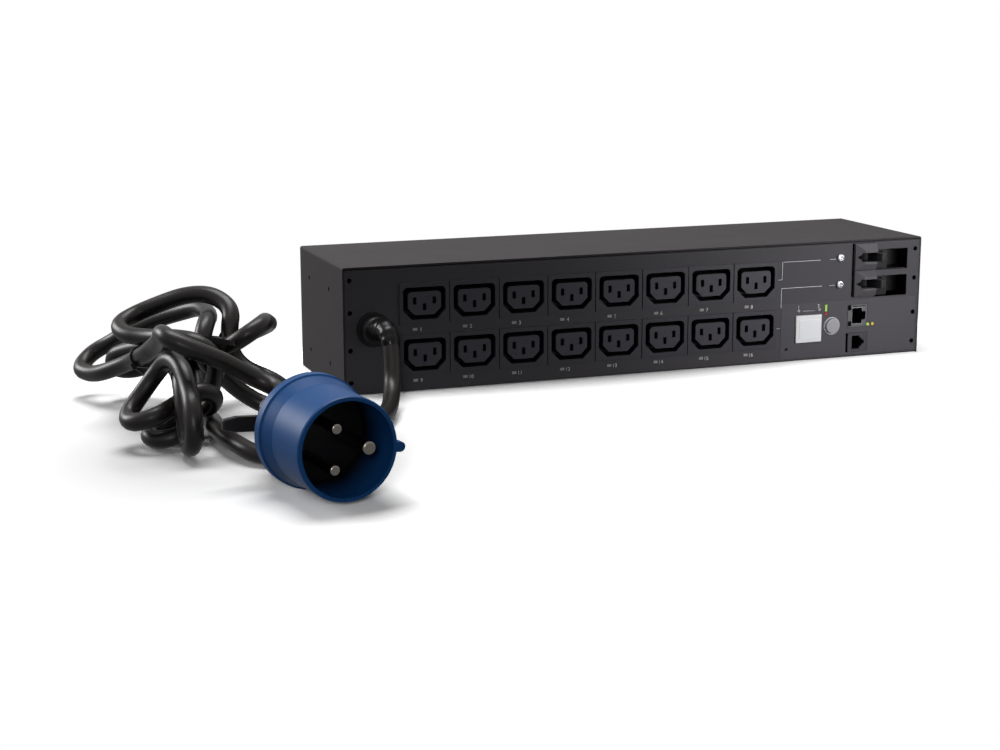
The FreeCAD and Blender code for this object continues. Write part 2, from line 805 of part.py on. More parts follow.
def serial_jack():
    x = from_right(serial_x)
    half_w = serial_width / 2
    half_h = serial_height / 2
    y0 = front_y - jack_proud
    shell = box(x - half_w, x + half_w, y0, control_board_y, serial_z - half_h, serial_z + half_h)
    cavity = box(x - 4.6, x + 1.8, y0 - 1, y0 + network_cavity_depth, serial_z - 5.0, serial_z + 5.0)
    step = box(x + 1.8, x + 3.6, y0 - 1, y0 + network_cavity_depth, serial_z - 3.3, serial_z + 3.3)
    notch = box(x + 3.6, x + 5.6, y0 - 1, y0 + network_cavity_depth, serial_z - 1.6, serial_z + 1.6)
    return shell.cut([cavity, step, notch]).removeSplitter()


def relay_board():
    z = relay_board_z
    return box(from_left(relay_board_left), from_left(relay_board_right), relay_board_front, relay_board_back,
               z, z + board_thick)


def outlet_relays():
    z = relay_board_z + board_thick
    first_row = relay_board_front + relay_margin
    rows = [first_row, first_row + relay_depth + relay_row_gap]
    solids = []
    for y in rows:
        for column in range(outlet_columns):
            x = from_left(first_outlet_x + column * outlet_pitch_x) - relay_width / 2
            solids.append(box(x, x + relay_width, y, y + relay_depth, z, z + relay_height))
    return Part.makeCompound(solids)


def current_sensors():
    z = relay_board_z + board_thick + sensor_outer
    y = sensor_front_y
    solids = []
    for share in (0.25, 0.75):
        x = from_left(first_outlet_x) + share * (outlet_columns - 1) * outlet_pitch_x
        ring = round_bar(sensor_outer, sensor_thick, V(x, y, z), V(0, 1, 0))
        solids.append(ring.cut(round_bar(sensor_inner, sensor_thick + 2, V(x, y - 1, z), V(0, 1, 0))))
    return Part.makeCompound(solids)


def control_transformer():
    x = from_right(transformer_x)
    half_w = transformer_width / 2
    half_d = transformer_depth / 2
    y = rear_panel_front_y - transformer_back_gap - half_d
    core = box(x - half_w, x + half_w, y - half_d * 0.55, y + half_d * 0.55, sheet, sheet + transformer_height)
    coil = box(x - half_w * 0.62, x + half_w * 0.62, y - half_d, y + half_d, sheet + transformer_height * 0.2,
               sheet + transformer_height * 0.82)
    return core.fuse(coil)


def terminal_block_x():
    return entry.x + terminal_block_shift


def input_terminal_block():
    x = terminal_block_x()
    y = front_y + terminal_block_set
    half = terminal_block_width / 2
    block = box(x - half, x + half, y, y + terminal_block_depth, sheet, sheet + terminal_block_height)
    for side in (-1, 1):
        place = V(x + side * terminal_spacing / 2, y - 1, sheet + terminal_z)
        block = block.cut(round_bar(lead_radius, lead_insertion + 1, place, V(0, 1, 0)))
        screw = V(place.x, y + terminal_block_depth / 2, sheet + terminal_screw_z)
        block = block.cut(round_bar(terminal_screw_radius, terminal_block_height, screw, V(0, 0, 1)))
    return block


def earth_stud_base():
    return V(entry.x - earth_stud_shift, front_y + earth_stud_set, sheet)


def earth_stud():
    base = earth_stud_base()
    stud = round_bar(earth_stud_radius, earth_stud_height, base, V(0, 0, 1))
    washer = round_bar(earth_nut_radius + 0.4, earth_washer_thick, base, V(0, 0, 1))
    nut_z = base.z + earth_washer_thick + earth_tag_thick + 0.2
    corners = [math.radians(60 * i) for i in range(6)]
    nut = extrude_outline([(base.x + earth_nut_radius * math.cos(a), base.y + earth_nut_radius * math.sin(a), nut_z)
                           for a in corners], V(0, 0, earth_nut_height))
    return stud.fuse([nut, washer]).removeSplitter()


# Tube of one section along straight runs joined by tangent arcs
def tube(points, radius, report=None):
    path = [V(*p) for p in points]
    pieces = []
    here = path[0]
    radii = []
    for i in range(1, len(path) - 1):
        before = path[i] - path[i - 1]
        after = path[i + 1] - path[i]
        turn = before.getAngle(after)
        setback = 0.45 * min(before.Length, after.Length)
        radii.append(setback / math.tan(turn / 2))
        a = path[i] - before.normalize() * setback
        b = path[i] + after.normalize() * setback
        to_middle = ((a + b) * 0.5 - path[i]).normalize()
        centre_gap = radii[-1] / math.cos(turn / 2)
        middle = path[i] + to_middle * (centre_gap - radii[-1])
        pieces.append(Part.LineSegment(here, a).toShape())
        pieces.append(Part.Arc(a, middle, b).toShape())
        here = b
    pieces.append(Part.LineSegment(here, path[-1]).toShape())
    wire = Part.Wire(pieces)
    start = path[1] - path[0]
    profile = Part.Wire(Part.Circle(path[0], start, radius).toShape())
    solid = wire.makePipeShell([profile], True, True)
    if report:
        share = solid.Volume / (math.pi * radius ** 2 * wire.Length)
        print(report, "length %.1f" % wire.Length, "volume share %.4f" % share,
              "radii", [round(r, 1) for r in radii])
    return solid


def supply_lead(side):
    x = entry.x + side * lead_spacing / 2
    start_y = front_y + bushing_inside
    end = V(terminal_block_x() + side * terminal_spacing / 2, front_y + terminal_block_set + lead_insertion,
            sheet + terminal_z)
    return tube([(x, start_y, entry.z), (x, start_y + lead_straight, entry.z),
                 (x + lead_slope_shift, start_y + lead_slope_reach, entry.z - lead_slope_drop),
                 (end.x, end.y - lead_approach, end.z), (end.x, end.y, end.z)], lead_radius)


def line_lead():
    return supply_lead(-1)


def neutral_lead():
    return supply_lead(1)


# Earth lead: down from the entry to a flat tag held under the stud's nut
def earth_lead():
    base = earth_stud_base()
    tag_z = base.z + earth_washer_thick
    tag = round_bar(earth_tag_radius, earth_tag_thick, V(base.x, base.y, tag_z), V(0, 0, 1))
    half = earth_tag_radius / 2
    tag = tag.fuse(box(base.x - half, base.x + half, base.y - earth_tag_length, base.y,
                       tag_z, tag_z + earth_tag_thick))
    tag = tag.cut(round_bar(earth_stud_radius, earth_stud_height, base, V(0, 0, 1)))
    start_y = front_y + bushing_inside
    x = entry.x
    start_z = entry.z - 3 * lead_radius - 0.1
    end_y = base.y - earth_tag_length + lead_radius + 0.1
    route = tube([(x, start_y, start_z), (x, start_y + 8.0, start_z), (x + 1.0, start_y + 11.0, 24.0),
                  (base.x, end_y, 12.0), (base.x, end_y, tag_z + 1.5)], lead_radius)
    return route.fuse(tag).removeSplitter()


def cord_bushing():
    out = V(0, -1, 0)
    flange = round_bar(bushing_flange, bushing_flange_thick, entry, out)
    sleeve = round_bar(bushing_radius, bushing_proud - 2.0, entry, out)
    nose = Part.makeCone(bushing_radius, bushing_radius - 1.6, 2.0, entry + out * (bushing_proud - 2.0), out)
    barrel = round_bar(bushing_radius, bushing_inside, entry, V(0, 1, 0))
    return flange.fuse([sleeve, nose, barrel]).removeSplitter()


def bushing_nut():
    start = V(entry.x, panel_back_y, entry.z)
    nut = extrude_outline([(start.x + bushing_nut_radius * math.cos(math.radians(60 * i + 30)), start.y,
                            start.z + bushing_nut_radius * math.sin(math.radians(60 * i + 30))) for i in range(6)],
                          V(0, bushing_nut_thick, 0))
    return nut.cut(round_bar(bushing_radius, bushing_nut_thick + 2, start - V(0, 1, 0), V(0, 1, 0)))


def place_on_plug(shape):
    shape.rotate(V(0, 0, 0), V(0, 1, 0), -plug_roll)
    shape.rotate(V(0, 0, 0), V(0, 0, 1), plug_turn)
    return shape.translated(plug_tip)


def turned(profile):
    points = [V(r, y, 0) for r, y in profile]
    face = Part.Face(Part.makePolygon(points + [points[0]]))
    return face.revolve(V(0, 0, 0), V(0, 1, 0), 360)


def pin_places():
    return [V(pin_circle * math.cos(math.radians(a)), 0, pin_circle * math.sin(math.radians(a))) for a in (0, 120, 240)]


def plug_shroud():
    inner = shroud_radius - shroud_wall
    floor_back = collar_back - 2.0
    body = turned([(0, shroud_floor), (inner, shroud_floor), (inner, 0), (shroud_radius - 0.5, 0),
                   (shroud_radius, 1.2), (shroud_radius, shroud_length), (collar_radius - 1.0, collar_front),
                   (collar_radius, collar_front + 0.8), (collar_radius, collar_back), (housing_radius - 0.2, collar_back),
                   (housing_radius - 0.2, floor_back), (0, floor_back)])
    key = box(shroud_radius - 1.0, shroud_radius + key_height - key_width / 2, 0.6, shroud_length + 4.0,
              -key_width / 2, key_width / 2)
    tip = round_bar(key_width / 2, shroud_length + 3.4, V(shroud_radius + key_height - key_width / 2, 0.6, 0),
                    V(0, 1, 0))
    body = body.fuse([key, tip])
    holes = []
    for place, radius in zip(pin_places(), (earth_pin_radius, power_pin_radius, power_pin_radius)):
        holes.append(round_bar(radius, 20.0, place + V(0, shroud_floor - 2, 0), V(0, 1, 0)))
    return place_on_plug(body.cut(holes).removeSplitter())


def plug_pin(place, radius):
    length = shroud_floor - pin_setback + pin_tail
    pin = round_bar(radius, length, place + V(0, pin_setback, 0), V(0, 1, 0))
    pin = fillet_where(pin, radius * 0.35, lambda e: isinstance(e.Curve, Part.Circle)
                       and abs(e.CenterOfMass.y - pin_setback) < 0.01)
    collar = round_bar(radius + 1.2, pin_tail - 4.0, place + V(0, collar_back - 2.0, 0), V(0, 1, 0))
    return pin.fuse(collar).removeSplitter()


def plug_earth_pin():
    return place_on_plug(plug_pin(pin_places()[0], earth_pin_radius))


def plug_power_pins():
    return place_on_plug(Part.makeCompound([plug_pin(p, power_pin_radius) for p in pin_places()[1:]]))


def plug_housing():
    inner = housing_radius - housing_wall
    neck_inner = gland_mouth_radius
    body = turned([(inner, collar_back), (housing_radius, collar_back), (housing_radius, housing_shoulder),
                   (housing_neck_radius, housing_end), (neck_inner, housing_end),
                   (neck_inner, housing_end - 6.0), (inner - 4.0, housing_shoulder + 5.0),
                   (inner, housing_shoulder)])
    lever = box(-housing_lever_reach, -housing_neck_radius - 0.5, housing_end - 8.0 - housing_lever_thick,
                housing_end - 8.0, -housing_lever_height / 2, housing_lever_height / 2)
    lever = fillet_where(lever, 1.6, lambda e: runs_along(e, "y")
                         and e.CenterOfMass.x < -housing_lever_reach + 0.1)
    return place_on_plug(body.fuse(lever).removeSplitter())


def plug_gland_nut():
    body = turned([(0, housing_end), (gland_nut_radius, housing_end),
                   (gland_nut_radius, gland_nut_end - 5.0), (gland_mouth_radius + 1.5, gland_nut_end),
                   (0, gland_nut_end)])
    flats = []
    for i in range(6):
        cut = box(gland_nut_radius * 0.93, gland_nut_radius + 2, housing_end - 0.5, gland_nut_end - 4.0, -12, 12)
        cut.rotate(V(0, 0, 0), V(0, 1, 0), 60 * i)
        flats.append(cut)
    return place_on_plug(body.cut(flats).removeSplitter())


def cord_hank():
    low = extrude_outline([(x, y, 0) for x, y in hank_low_outline], V(0, 0, hank_low_top + 1))
    high = extrude_outline([(x, y, hank_low_top) for x, y in hank_high_outline], V(0, 0, hank_top - hank_low_top))
    return low.fuse(high).removeSplitter()


def oval_disc(half_width, half_height, thick):
    if half_width >= half_height:
        outline = Part.Ellipse(V(0, 0, -thick / 2), half_width, half_height).toShape()
    else:
        outline = Part.Ellipse(V(0, 0, -thick / 2), half_height, half_width).toShape()
        outline.rotate(V(0, 0, 0), V(0, 0, 1), 90)
    return Part.Face(Part.Wire(outline)).extrude(V(0, 0, thick))


def cable_tie(centre, half_width, half_height, turn):
    ring = oval_disc(half_width, half_height, tie_band)
    ring = ring.cut(oval_disc(half_width - tie_thick, half_height - tie_thick, tie_band + 2))
    ring.rotate(V(0, 0, 0), V(1, 0, 0), 90)
    ring.rotate(V(0, 0, 0), V(0, 0, 1), turn)
    return ring.translated(V(*centre))


def cable_ties():
    return Part.makeCompound([cable_tie(*place) for place in tie_places])


def save(name, shape):
    shape.exportStep("parts/%s.step" % name)
    print(name, "solids", len(shape.Solids), "valid", shape.isValid(), "volume %.0f" % shape.Volume)


def main():
    os.makedirs("parts", exist_ok=True)
    save("chassis_tray", chassis_tray())
    save("top_cover", top_cover())
    housing = outlet_housing()
    for number, (x, z) in enumerate(outlet_places(), 1):
        save("outlet_%02d" % number, housing.translated(V(x, front_y, z)))
    save("outlet_cores", outlet_cores())
    for index, name in enumerate(("line_contacts", "neutral_contacts", "earth_contacts")):
        save(name, contacts(index))
    save("outlet_leds", outlet_leds())
    for number, z in enumerate(breaker_places(), 1):
        save("breaker_%d_body" % number, breaker_body(z))
        save("breaker_%d_toggle" % number, breaker_toggle(z))
    save("breaker_screws", breaker_screws())
    save("cover_screws", cover_screws())
    save("control_board", control_board())
    save("control_overlay", control_overlay())
    save("display_module", display_module())
    save("button_switch", button_switch())
    save("function_button", function_button())
    save("green_status_led", light_guide(status_x, status_z, status_width, status_height))
    save("red_status_led", light_guide(status_x, red_status_z, status_width, red_status_height))
    save("bank_leds", bank_leds())
    save("link_leds", link_leds())
    save("network_jack", network_jack())
    save("serial_jack", serial_jack())
    save("relay_board", relay_board())
    save("outlet_relays", outlet_relays())
    save("current_sensors", current_sensors())
    save("control_transformer", control_transformer())
    save("input_terminal_block", input_terminal_block())
    save("earth_stud", earth_stud())
    save("line_lead", line_lead())
    save("neutral_lead", neutral_lead())
    save("earth_lead", earth_lead())
    save("cord_bushing", cord_bushing())
    save("bushing_nut", bushing_nut())
    save("plug_shroud", plug_shroud())
    save("plug_earth_pin", plug_earth_pin())
    save("plug_power_pins", plug_power_pins())
    save("plug_housing", plug_housing())
    save("plug_gland_nut", plug_gland_nut())
    save("power_cord_case_end", tube(case_route, cord_radius, "case cord"))
    save("power_cord_plug_end", tube(plug_route, cord_radius, "plug cord"))
    save("cord_hank", cord_hank())
    save("cable_ties", cable_ties())


main()
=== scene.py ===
import bpy
import bmesh
import math
from mathutils import Matrix, Vector
from mathutils.geometry import convex_hull_2d


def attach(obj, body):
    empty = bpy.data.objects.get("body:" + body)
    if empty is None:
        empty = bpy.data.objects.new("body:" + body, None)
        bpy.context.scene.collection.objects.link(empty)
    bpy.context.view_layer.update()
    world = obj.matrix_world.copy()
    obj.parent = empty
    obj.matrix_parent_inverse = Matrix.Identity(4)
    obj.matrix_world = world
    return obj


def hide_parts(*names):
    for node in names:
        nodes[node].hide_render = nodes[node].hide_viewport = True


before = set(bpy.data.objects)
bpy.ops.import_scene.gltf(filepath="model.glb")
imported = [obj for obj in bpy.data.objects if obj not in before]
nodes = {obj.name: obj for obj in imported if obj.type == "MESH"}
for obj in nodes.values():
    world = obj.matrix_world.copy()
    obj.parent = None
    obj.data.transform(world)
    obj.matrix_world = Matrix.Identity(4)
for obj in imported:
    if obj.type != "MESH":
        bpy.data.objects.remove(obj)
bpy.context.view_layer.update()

# Front face of the panel and left edge of the case, and the tip of the plug, in metres
panelY = -0.058
caseLeft = -0.224
plugTip = (-0.2949, -0.3278, 0.0326)


# Camera: fitted to the case's edges in the photograph
view = {"lens": 67.64, "sensor": 36, "near": 0.05, "place": (-0.548, -1.265, 0.276),
        "yaw": 19.87, "pitch": 11.85, "roll": -0.17}


def placeCamera(v):
    yaw, pitch, roll = (math.radians(v[k]) for k in ("yaw", "pitch", "roll"))
    ahead = Vector((math.sin(yaw) * math.cos(pitch), math.cos(yaw) * math.cos(pitch), -math.sin(pitch)))
    level = Vector((math.cos(yaw), -math.sin(yaw), 0))
    above = level.cross(ahead)
    right = math.cos(roll) * level + math.sin(roll) * above
    up = -math.sin(roll) * level + math.cos(roll) * above
    data = bpy.data.cameras.new("photoCamera")
    data.lens = v["lens"]
    data.sensor_width = v["sensor"]
    data.clip_start = v["near"]
    camera = bpy.data.objects.new("photoCamera", data)
    camera.matrix_world = Matrix.Translation(v["place"]) @ Matrix((right, up, -ahead)).transposed().to_4x4()
    bpy.context.scene.collection.objects.link(camera)
    bpy.context.scene.camera = camera


placeCamera(view)
bpy.context.scene.view_settings.view_transform = "Standard"
print("camera placed")


# sRGB hex to linear colour
def colour(code):
    parts = [int(code[i:i + 2], 16) / 255 for i in (1, 3, 5)]
    return tuple(c / 12.92 if c <= 0.04045 else ((c + 0.055) / 1.055) ** 2.4 for c in parts) + (1,)


# One node with its settings, and its inputs set to values or linked to other nodes' outputs.
# Inputs 6 and 7 of a colour mix are the two colours.
def addNode(tree, kind, inputs=None, **settings):
    node = tree.nodes.new(kind)
    for key, value in settings.items():
        setattr(node, key, value)
    for key, value in (inputs or {}).items():
        if isinstance(value, bpy.types.NodeSocket):
            tree.links.new(value, node.inputs[key])
        else:
            node.inputs[key].default_value = value
    return node


# Surface noise: how many octaves the colour, the roughness and the bump have, how fine the roughness
# patches are beside the colour patches, and how far the roughness drifts
noiseValues = {"hue": 4, "rough": 5, "bump": 2, "falloff": 0.55, "roughSize": 0.35, "roughDrift": 0.05}


# Principled surface with colour drift, roughness drift and a fine bump. mottle and bump are (size in mm,
# strength), and the painted shade, a darker colour behind the front face, is (hex, y where it starts, y where
# it is full).
def finish(name, base, rough, metal=0.0, mottle=(60, 0.06), bump=(0.5, 0.02), paintedShade=None, **sockets):
    material = bpy.data.materials.new(name)
    material.use_nodes = True
    tree = material.node_tree
    shader = tree.nodes["Principled BSDF"]
    place = addNode(tree, "ShaderNodeTexCoord").outputs["Object"]
    grain = {}
    sizes = {"hue": mottle[0], "rough": mottle[0] * noiseValues["roughSize"], "bump": bump[0]}
    for use, size in sizes.items():
        noise = addNode(tree, "ShaderNodeTexNoise", {"Vector": place, "Scale": 1000 / size,
                                                     "Detail": noiseValues[use],
                                                     "Roughness": noiseValues["falloff"]})
        grain[use] = noise.outputs["Fac"]
    hue = colour(base)
    low = tuple(c * (1 - mottle[1]) for c in hue[:3]) + (1,)
    high = tuple(min(1, c * (1 + mottle[1])) for c in hue[:3]) + (1,)
    mix = addNode(tree, "ShaderNodeMix", {"Factor": grain["hue"], 6: low, 7: high}, data_type="RGBA")
    # Painted shade: the colour turns darker further behind the front face
    if paintedShade:
        depth = addNode(tree, "ShaderNodeSeparateXYZ", {0: place}).outputs["Y"]
        share = addNode(tree, "ShaderNodeMapRange", {"Value": depth, "From Min": paintedShade[1],
                                                     "From Max": paintedShade[2]})
        mix = addNode(tree, "ShaderNodeMix", {"Factor": share.outputs[0], 6: mix.outputs[2],
                                              7: colour(paintedShade[0])}, data_type="RGBA")
    tree.links.new(mix.outputs[2], shader.inputs["Base Color"])
    drift = noiseValues["roughDrift"]
    sheen = addNode(tree, "ShaderNodeMapRange", {"Value": grain["rough"], "To Min": rough - drift,
                                                 "To Max": rough + drift})
    tree.links.new(sheen.outputs[0], shader.inputs["Roughness"])
    relief = addNode(tree, "ShaderNodeBump", {"Height": grain["bump"], "Strength": bump[1],
                                              "Distance": bump[0] / 1000})
    tree.links.new(relief.outputs[0], shader.inputs["Normal"])
    shader.inputs["Metallic"].default_value = metal
    for key, value in sockets.items():
        shader.inputs[key.replace("_", " ")].default_value = value
    return material


# Powder coat on folded steel: dark grey, a slight orange peel that softens the highlight
coat = finish("powderCoat", "#4b494d", 0.55, mottle=(90, 0.08), bump=(0.9, 0.06), Specular_IOR_Level=0.15)
# The same coat on the lid, a little warmer and more matt, and darker than the panel's copy: painted shade
# that holds the top down under the overhead light
lidShadedCoat = finish("lidShadedPowderCoat", "#423f41", 0.7, mottle=(90, 0.08), bump=(0.9, 0.06), Specular_IOR_Level=0.1)
# Printed polyester film over the control area: a shade lighter than the panel
film = finish("controlFilm", "#525055", 0.55, mottle=(70, 0.05), bump=(0.3, 0.02), Specular_IOR_Level=0.15)
# Moulded nylon of the outlets, satin so the rims catch the light, with painted shade near black down in the
# wells
nylon = finish("outletNylon", "#454349", 0.4, mottle=(20, 0.08), bump=(0.25, 0.04),
               paintedShade=("#0d0d12", -0.0585, -0.0560), Specular_IOR_Level=0.2)
# The cores' nylon: a touch lighter, with painted shade that turns the slots black
coreNylon = finish("outletCoreNylon", "#48464d", 0.42, mottle=(20, 0.08), bump=(0.25, 0.04),
                   paintedShade=("#0d0d12", -0.0588, -0.0565), Specular_IOR_Level=0.2)
# Painted shade on the network socket's face: plain black bars where its openings lie in shadow
slotShadeBlack = finish("slotShadeBlack", "#040405", 0.8, mottle=(5, 0.1), bump=(0.3, 0.02), Specular_IOR_Level=0.05)
# Glass-filled nylon of the breakers: mid grey and satin, with painted shade dark in its recesses
breakerGrey = finish("breakerMoulding", "#59575b", 0.4, mottle=(20, 0.06), bump=(0.25, 0.05),
                     paintedShade=("#08080a", -0.0586, -0.0578), Specular_IOR_Level=0.2)
# Acetal of the toggles: nearly black, with a small clear highlight
toggleBlack = finish("toggleMoulding", "#2c2b2e", 0.3, mottle=(10, 0.08), bump=(0.25, 0.04),
                     Specular_IOR_Level=0.35)
# Black moulded parts behind the openings, and the ties: satin black
blackPlastic = finish("blackMoulding", "#131214", 0.4, mottle=(15, 0.1), bump=(0.3, 0.04),
                      Specular_IOR_Level=0.25)
# Moulded housing of the serial socket: the panel's grey, with painted shade dark inside
socketGrey = finish("socketMoulding", "#434146", 0.45, mottle=(15, 0.06), bump=(0.3, 0.04),
                    paintedShade=("#08080a", -0.0574, -0.0566), Specular_IOR_Level=0.25)
# Zinc plate of the screws: bright and hard, so that each head sparkles
zinc = finish("zincPlate", "#bdbdc2", 0.25, 1.0, mottle=(4, 0.05), bump=(0.3, 0.03))
# Tin plate of the network socket's shield: dull metal that goes as dark as the panel
tin = finish("tinPlate", "#5d5b5e", 0.4, 1.0, mottle=(5, 0.08), bump=(0.3, 0.03))
# Brass of the contact springs: a warm glint at the mouth of a slot, and painted shade that darkens it further
# in
brass = finish("contactBrass", "#7a6238", 0.45, 1.0, mottle=(4, 0.06), bump=(0.3, 0.03),
               paintedShade=("#120f0a", -0.0572, -0.0560))
# Glass-epoxy laminate of the boards: green and even
board = finish("boardLaminate", "#1f4a2c", 0.4, mottle=(20, 0.08), bump=(1.0, 0.05))
# Stacked iron sheets of the transformer: dull grey metal
iron = finish("transformerIron", "#46443f", 0.5, 0.6, mottle=(10, 0.1), bump=(0.5, 0.08))
# Vinyl insulation of the three inner leads: brown, blue and green, softly shiny
lineWire = finish("brownInsulation", "#5a3420", 0.4, mottle=(20, 0.06))
neutralWire = finish("blueInsulation", "#24508c", 0.4, mottle=(20, 0.06))
earthWire = finish("earthInsulation", "#4f7a2a", 0.4, mottle=(20, 0.06))
# White moulded ABS of the display: clean and satin
whitePlastic = finish("whiteMoulding", "#eeeef0", 0.4, mottle=(10, 0.03), bump=(0.3, 0.02))
# Grey ABS of the button, and the lighter ring round it
buttonGrey = finish("buttonMoulding", "#a09fa3", 0.4, mottle=(8, 0.04), bump=(0.3, 0.02))
ringGrey = finish("buttonRingMoulding", "#bdbcbf", 0.35, mottle=(8, 0.04), bump=(0.3, 0.02))
# Acrylic of the lamps' light guides: pale grey where a lamp is off, glossy
lens = finish("ledLens", "#a9a8a4", 0.2, mottle=(3, 0.05), bump=(0.3, 0.01))
# Acrylic window of the display: glossy, and as white as what lies under it
windowClear = finish("displayWindow", "#f4f5f8", 0.15, mottle=(12, 0.02), bump=(0.5, 0.01))
# Tinted acrylic of the two status lamps
greenLens = finish("greenLens", "#b8e06a", 0.2, mottle=(3, 0.05), bump=(0.3, 0.01))
redLens = finish("redLens", "#d43a3a", 0.25, mottle=(3, 0.05), bump=(0.3, 0.01))
# Blue nylon of the plug: satin, with a broad soft highlight
plugBlue = finish("plugNylonBlue", "#164b85", 0.42, mottle=(30, 0.07), bump=(0.4, 0.03),
                  Specular_IOR_Level=0.16)
# Black nylon of the plug's housing and gland nut: satin
plugBlack = finish("plugNylonBlack", "#252324", 0.42, mottle=(30, 0.08), bump=(0.4, 0.05),
                   Specular_IOR_Level=0.25)
# Nickel plate of the plug's pins: warm grey and bright
nickel = finish("nickelPlate", "#87827b", 0.22, 1.0, mottle=(5, 0.05), bump=(0.3, 0.02))
# Rubber of the cord's jacket: smooth, with a broad satin highlight along each turn
jacket = finish("cordJacket", "#1f1b1a", 0.36, mottle=(25, 0.1), bump=(0.6, 0.03), Specular_IOR_Level=0.32)
# Moulded rubber of the strain relief: blacker than the cord and a little glossier
reliefRubber = finish("reliefRubber", "#0c0b0c", 0.28, mottle=(15, 0.1), bump=(0.4, 0.03),
                      Specular_IOR_Level=0.2)
# White screen print: flat and matt
ink = finish("whiteInk", "#d9d9dc", 0.6, mottle=(5, 0.03), bump=(0.3, 0.02))


# Painted shade inside the shroud: the nylon darkens to near black towards the pin carrier, a share that grows
# along the plug's axis, for what lies nearer the axis than the shroud's wall
insideShadeValues = {"axis": (-0.1495, 0.9888, 0), "within": 0.0267, "starts": 0.010, "full": 0.036,
                 "black": "#050507"}


def darkenInside(material, v):
    tree = material.node_tree
    shader = tree.nodes["Principled BSDF"]
    before = shader.inputs["Base Color"].links[0].from_socket
    place = addNode(tree, "ShaderNodeTexCoord").outputs["Object"]
    reach = addNode(tree, "ShaderNodeVectorMath", {0: place, 1: plugTip}, operation="SUBTRACT").outputs[0]
    depth = addNode(tree, "ShaderNodeVectorMath", {0: reach, 1: v["axis"]}, operation="DOT_PRODUCT")
    beside = addNode(tree, "ShaderNodeVectorMath", {0: reach, 1: v["axis"]}, operation="CROSS_PRODUCT")
    radius = addNode(tree, "ShaderNodeVectorMath", {0: beside.outputs[0]}, operation="LENGTH")
    inside = addNode(tree, "ShaderNodeMath", {0: radius.outputs["Value"], 1: v["within"]},
                     operation="LESS_THAN")
    fall = addNode(tree, "ShaderNodeMapRange", {"Value": depth.outputs["Value"], "From Min": v["starts"],
                                                "From Max": v["full"]})
    share = addNode(tree, "ShaderNodeMath", {0: inside.outputs[0], 1: fall.outputs[0]}, operation="MULTIPLY")
    mix = addNode(tree, "ShaderNodeMix", {"Factor": share.outputs[0], 6: before, 7: colour(v["black"])},
                  data_type="RGBA")
    tree.links.new(mix.outputs[2], shader.inputs["Base Color"])


darkenInside(plugBlue, insideShadeValues)


# Two link lamps in one moulding: green acrylic, and amber from amberFrom rightwards
linkValues = {"green": "#b4dc6c", "amber": "#ecc95e", "amberFrom": 0.1825}


def linkLamps(v):
    material = finish("linkLens", v["green"], 0.2, mottle=(3, 0.05), bump=(0.3, 0.01))
    tree = material.node_tree
    shader = tree.nodes["Principled BSDF"]
    before = shader.inputs["Base Color"].links[0].from_socket
    place = addNode(tree, "ShaderNodeTexCoord").outputs["Object"]
    x = addNode(tree, "ShaderNodeSeparateXYZ", {0: place}).outputs["X"]
    rightOne = addNode(tree, "ShaderNodeMath", {0: x, 1: v["amberFrom"]}, operation="GREATER_THAN")
    mix = addNode(tree, "ShaderNodeMix", {"Factor": rightOne.outputs[0], 6: before, 7: colour(v["amber"])},
                  data_type="RGBA")
    tree.links.new(mix.outputs[2], shader.inputs["Base Color"])
    return material


linkLens = linkLamps(linkValues)


def paint(material, *names):
    for name in names:
        for slot in nodes[name].material_slots:
            slot.link = "OBJECT"
            slot.material = material


outletNames = ["outlet_%02d" % i for i in range(1, 17)]
paint(coat, "chassis_tray")
paint(lidShadedCoat, "top_cover")
paint(nylon, *outletNames)
paint(coreNylon, "outlet_cores")
paint(brass, "line_contacts", "neutral_contacts", "earth_contacts")
paint(lens, "outlet_leds", "bank_leds")
paint(breakerGrey, "breaker_1_body", "breaker_2_body")
paint(toggleBlack, "breaker_1_toggle", "breaker_2_toggle")
paint(zinc, "breaker_screws", "cover_screws", "earth_stud", "bushing_nut")
paint(board, "control_board", "relay_board")
paint(film, "control_overlay")
paint(whitePlastic, "display_module")
paint(buttonGrey, "function_button")
paint(greenLens, "green_status_led")
paint(linkLens, "link_leds")
paint(redLens, "red_status_led")
paint(tin, "network_jack")
paint(socketGrey, "serial_jack")
paint(blackPlastic, "button_switch", "outlet_relays", "current_sensors", "input_terminal_block",
      "cord_bushing")
paint(iron, "control_transformer")
paint(lineWire, "line_lead")
paint(neutralWire, "neutral_lead")
paint(earthWire, "earth_lead")
paint(plugBlue, "plug_shroud")
paint(nickel, "plug_earth_pin", "plug_power_pins")
paint(plugBlack, "plug_housing", "plug_gland_nut")
print("frame painted")


# Edges of moulded and folded pieces are rounded a little, so that they catch the light
roundingValues = {"outlet": 0.00035, "boss": 0.0004, "lid": 0.0003, "socket": 0.0002, "sharper": 40}


def roundEdges(width, *names):
    for name in names:
        rounding = nodes[name].modifiers.new("edgeRounding", "BEVEL")
        rounding.width = width
        rounding.segments = 2
        rounding.limit_method = "ANGLE"
        rounding.angle_limit = math.radians(roundingValues["sharper"])
        rounding.harden_normals = True


roundEdges(roundingValues["outlet"], "outlet_cores", *outletNames)
roundEdges(roundingValues["boss"], "breaker_1_body", "breaker_2_body")
roundEdges(roundingValues["lid"], "top_cover")
roundEdges(roundingValues["socket"], "network_jack", "serial_jack", "breaker_1_toggle", "breaker_2_toggle")


# Pieces are meshes built in place, in metres, with their origin at the frame's origin
def addPiece(name, mesh, material, smooth=False):
    thing = bpy.data.objects.new(name, mesh)
    bpy.context.scene.collection.objects.link(thing)
    mesh.materials.clear()
    mesh.materials.append(material)
    for face in mesh.polygons:
        face.use_smooth = smooth
    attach(thing, "case")
    return thing


def meshFrom(name, shape):
    mesh = bpy.data.meshes.new(name)
    shape.to_mesh(mesh)
    shape.free()
    return mesh


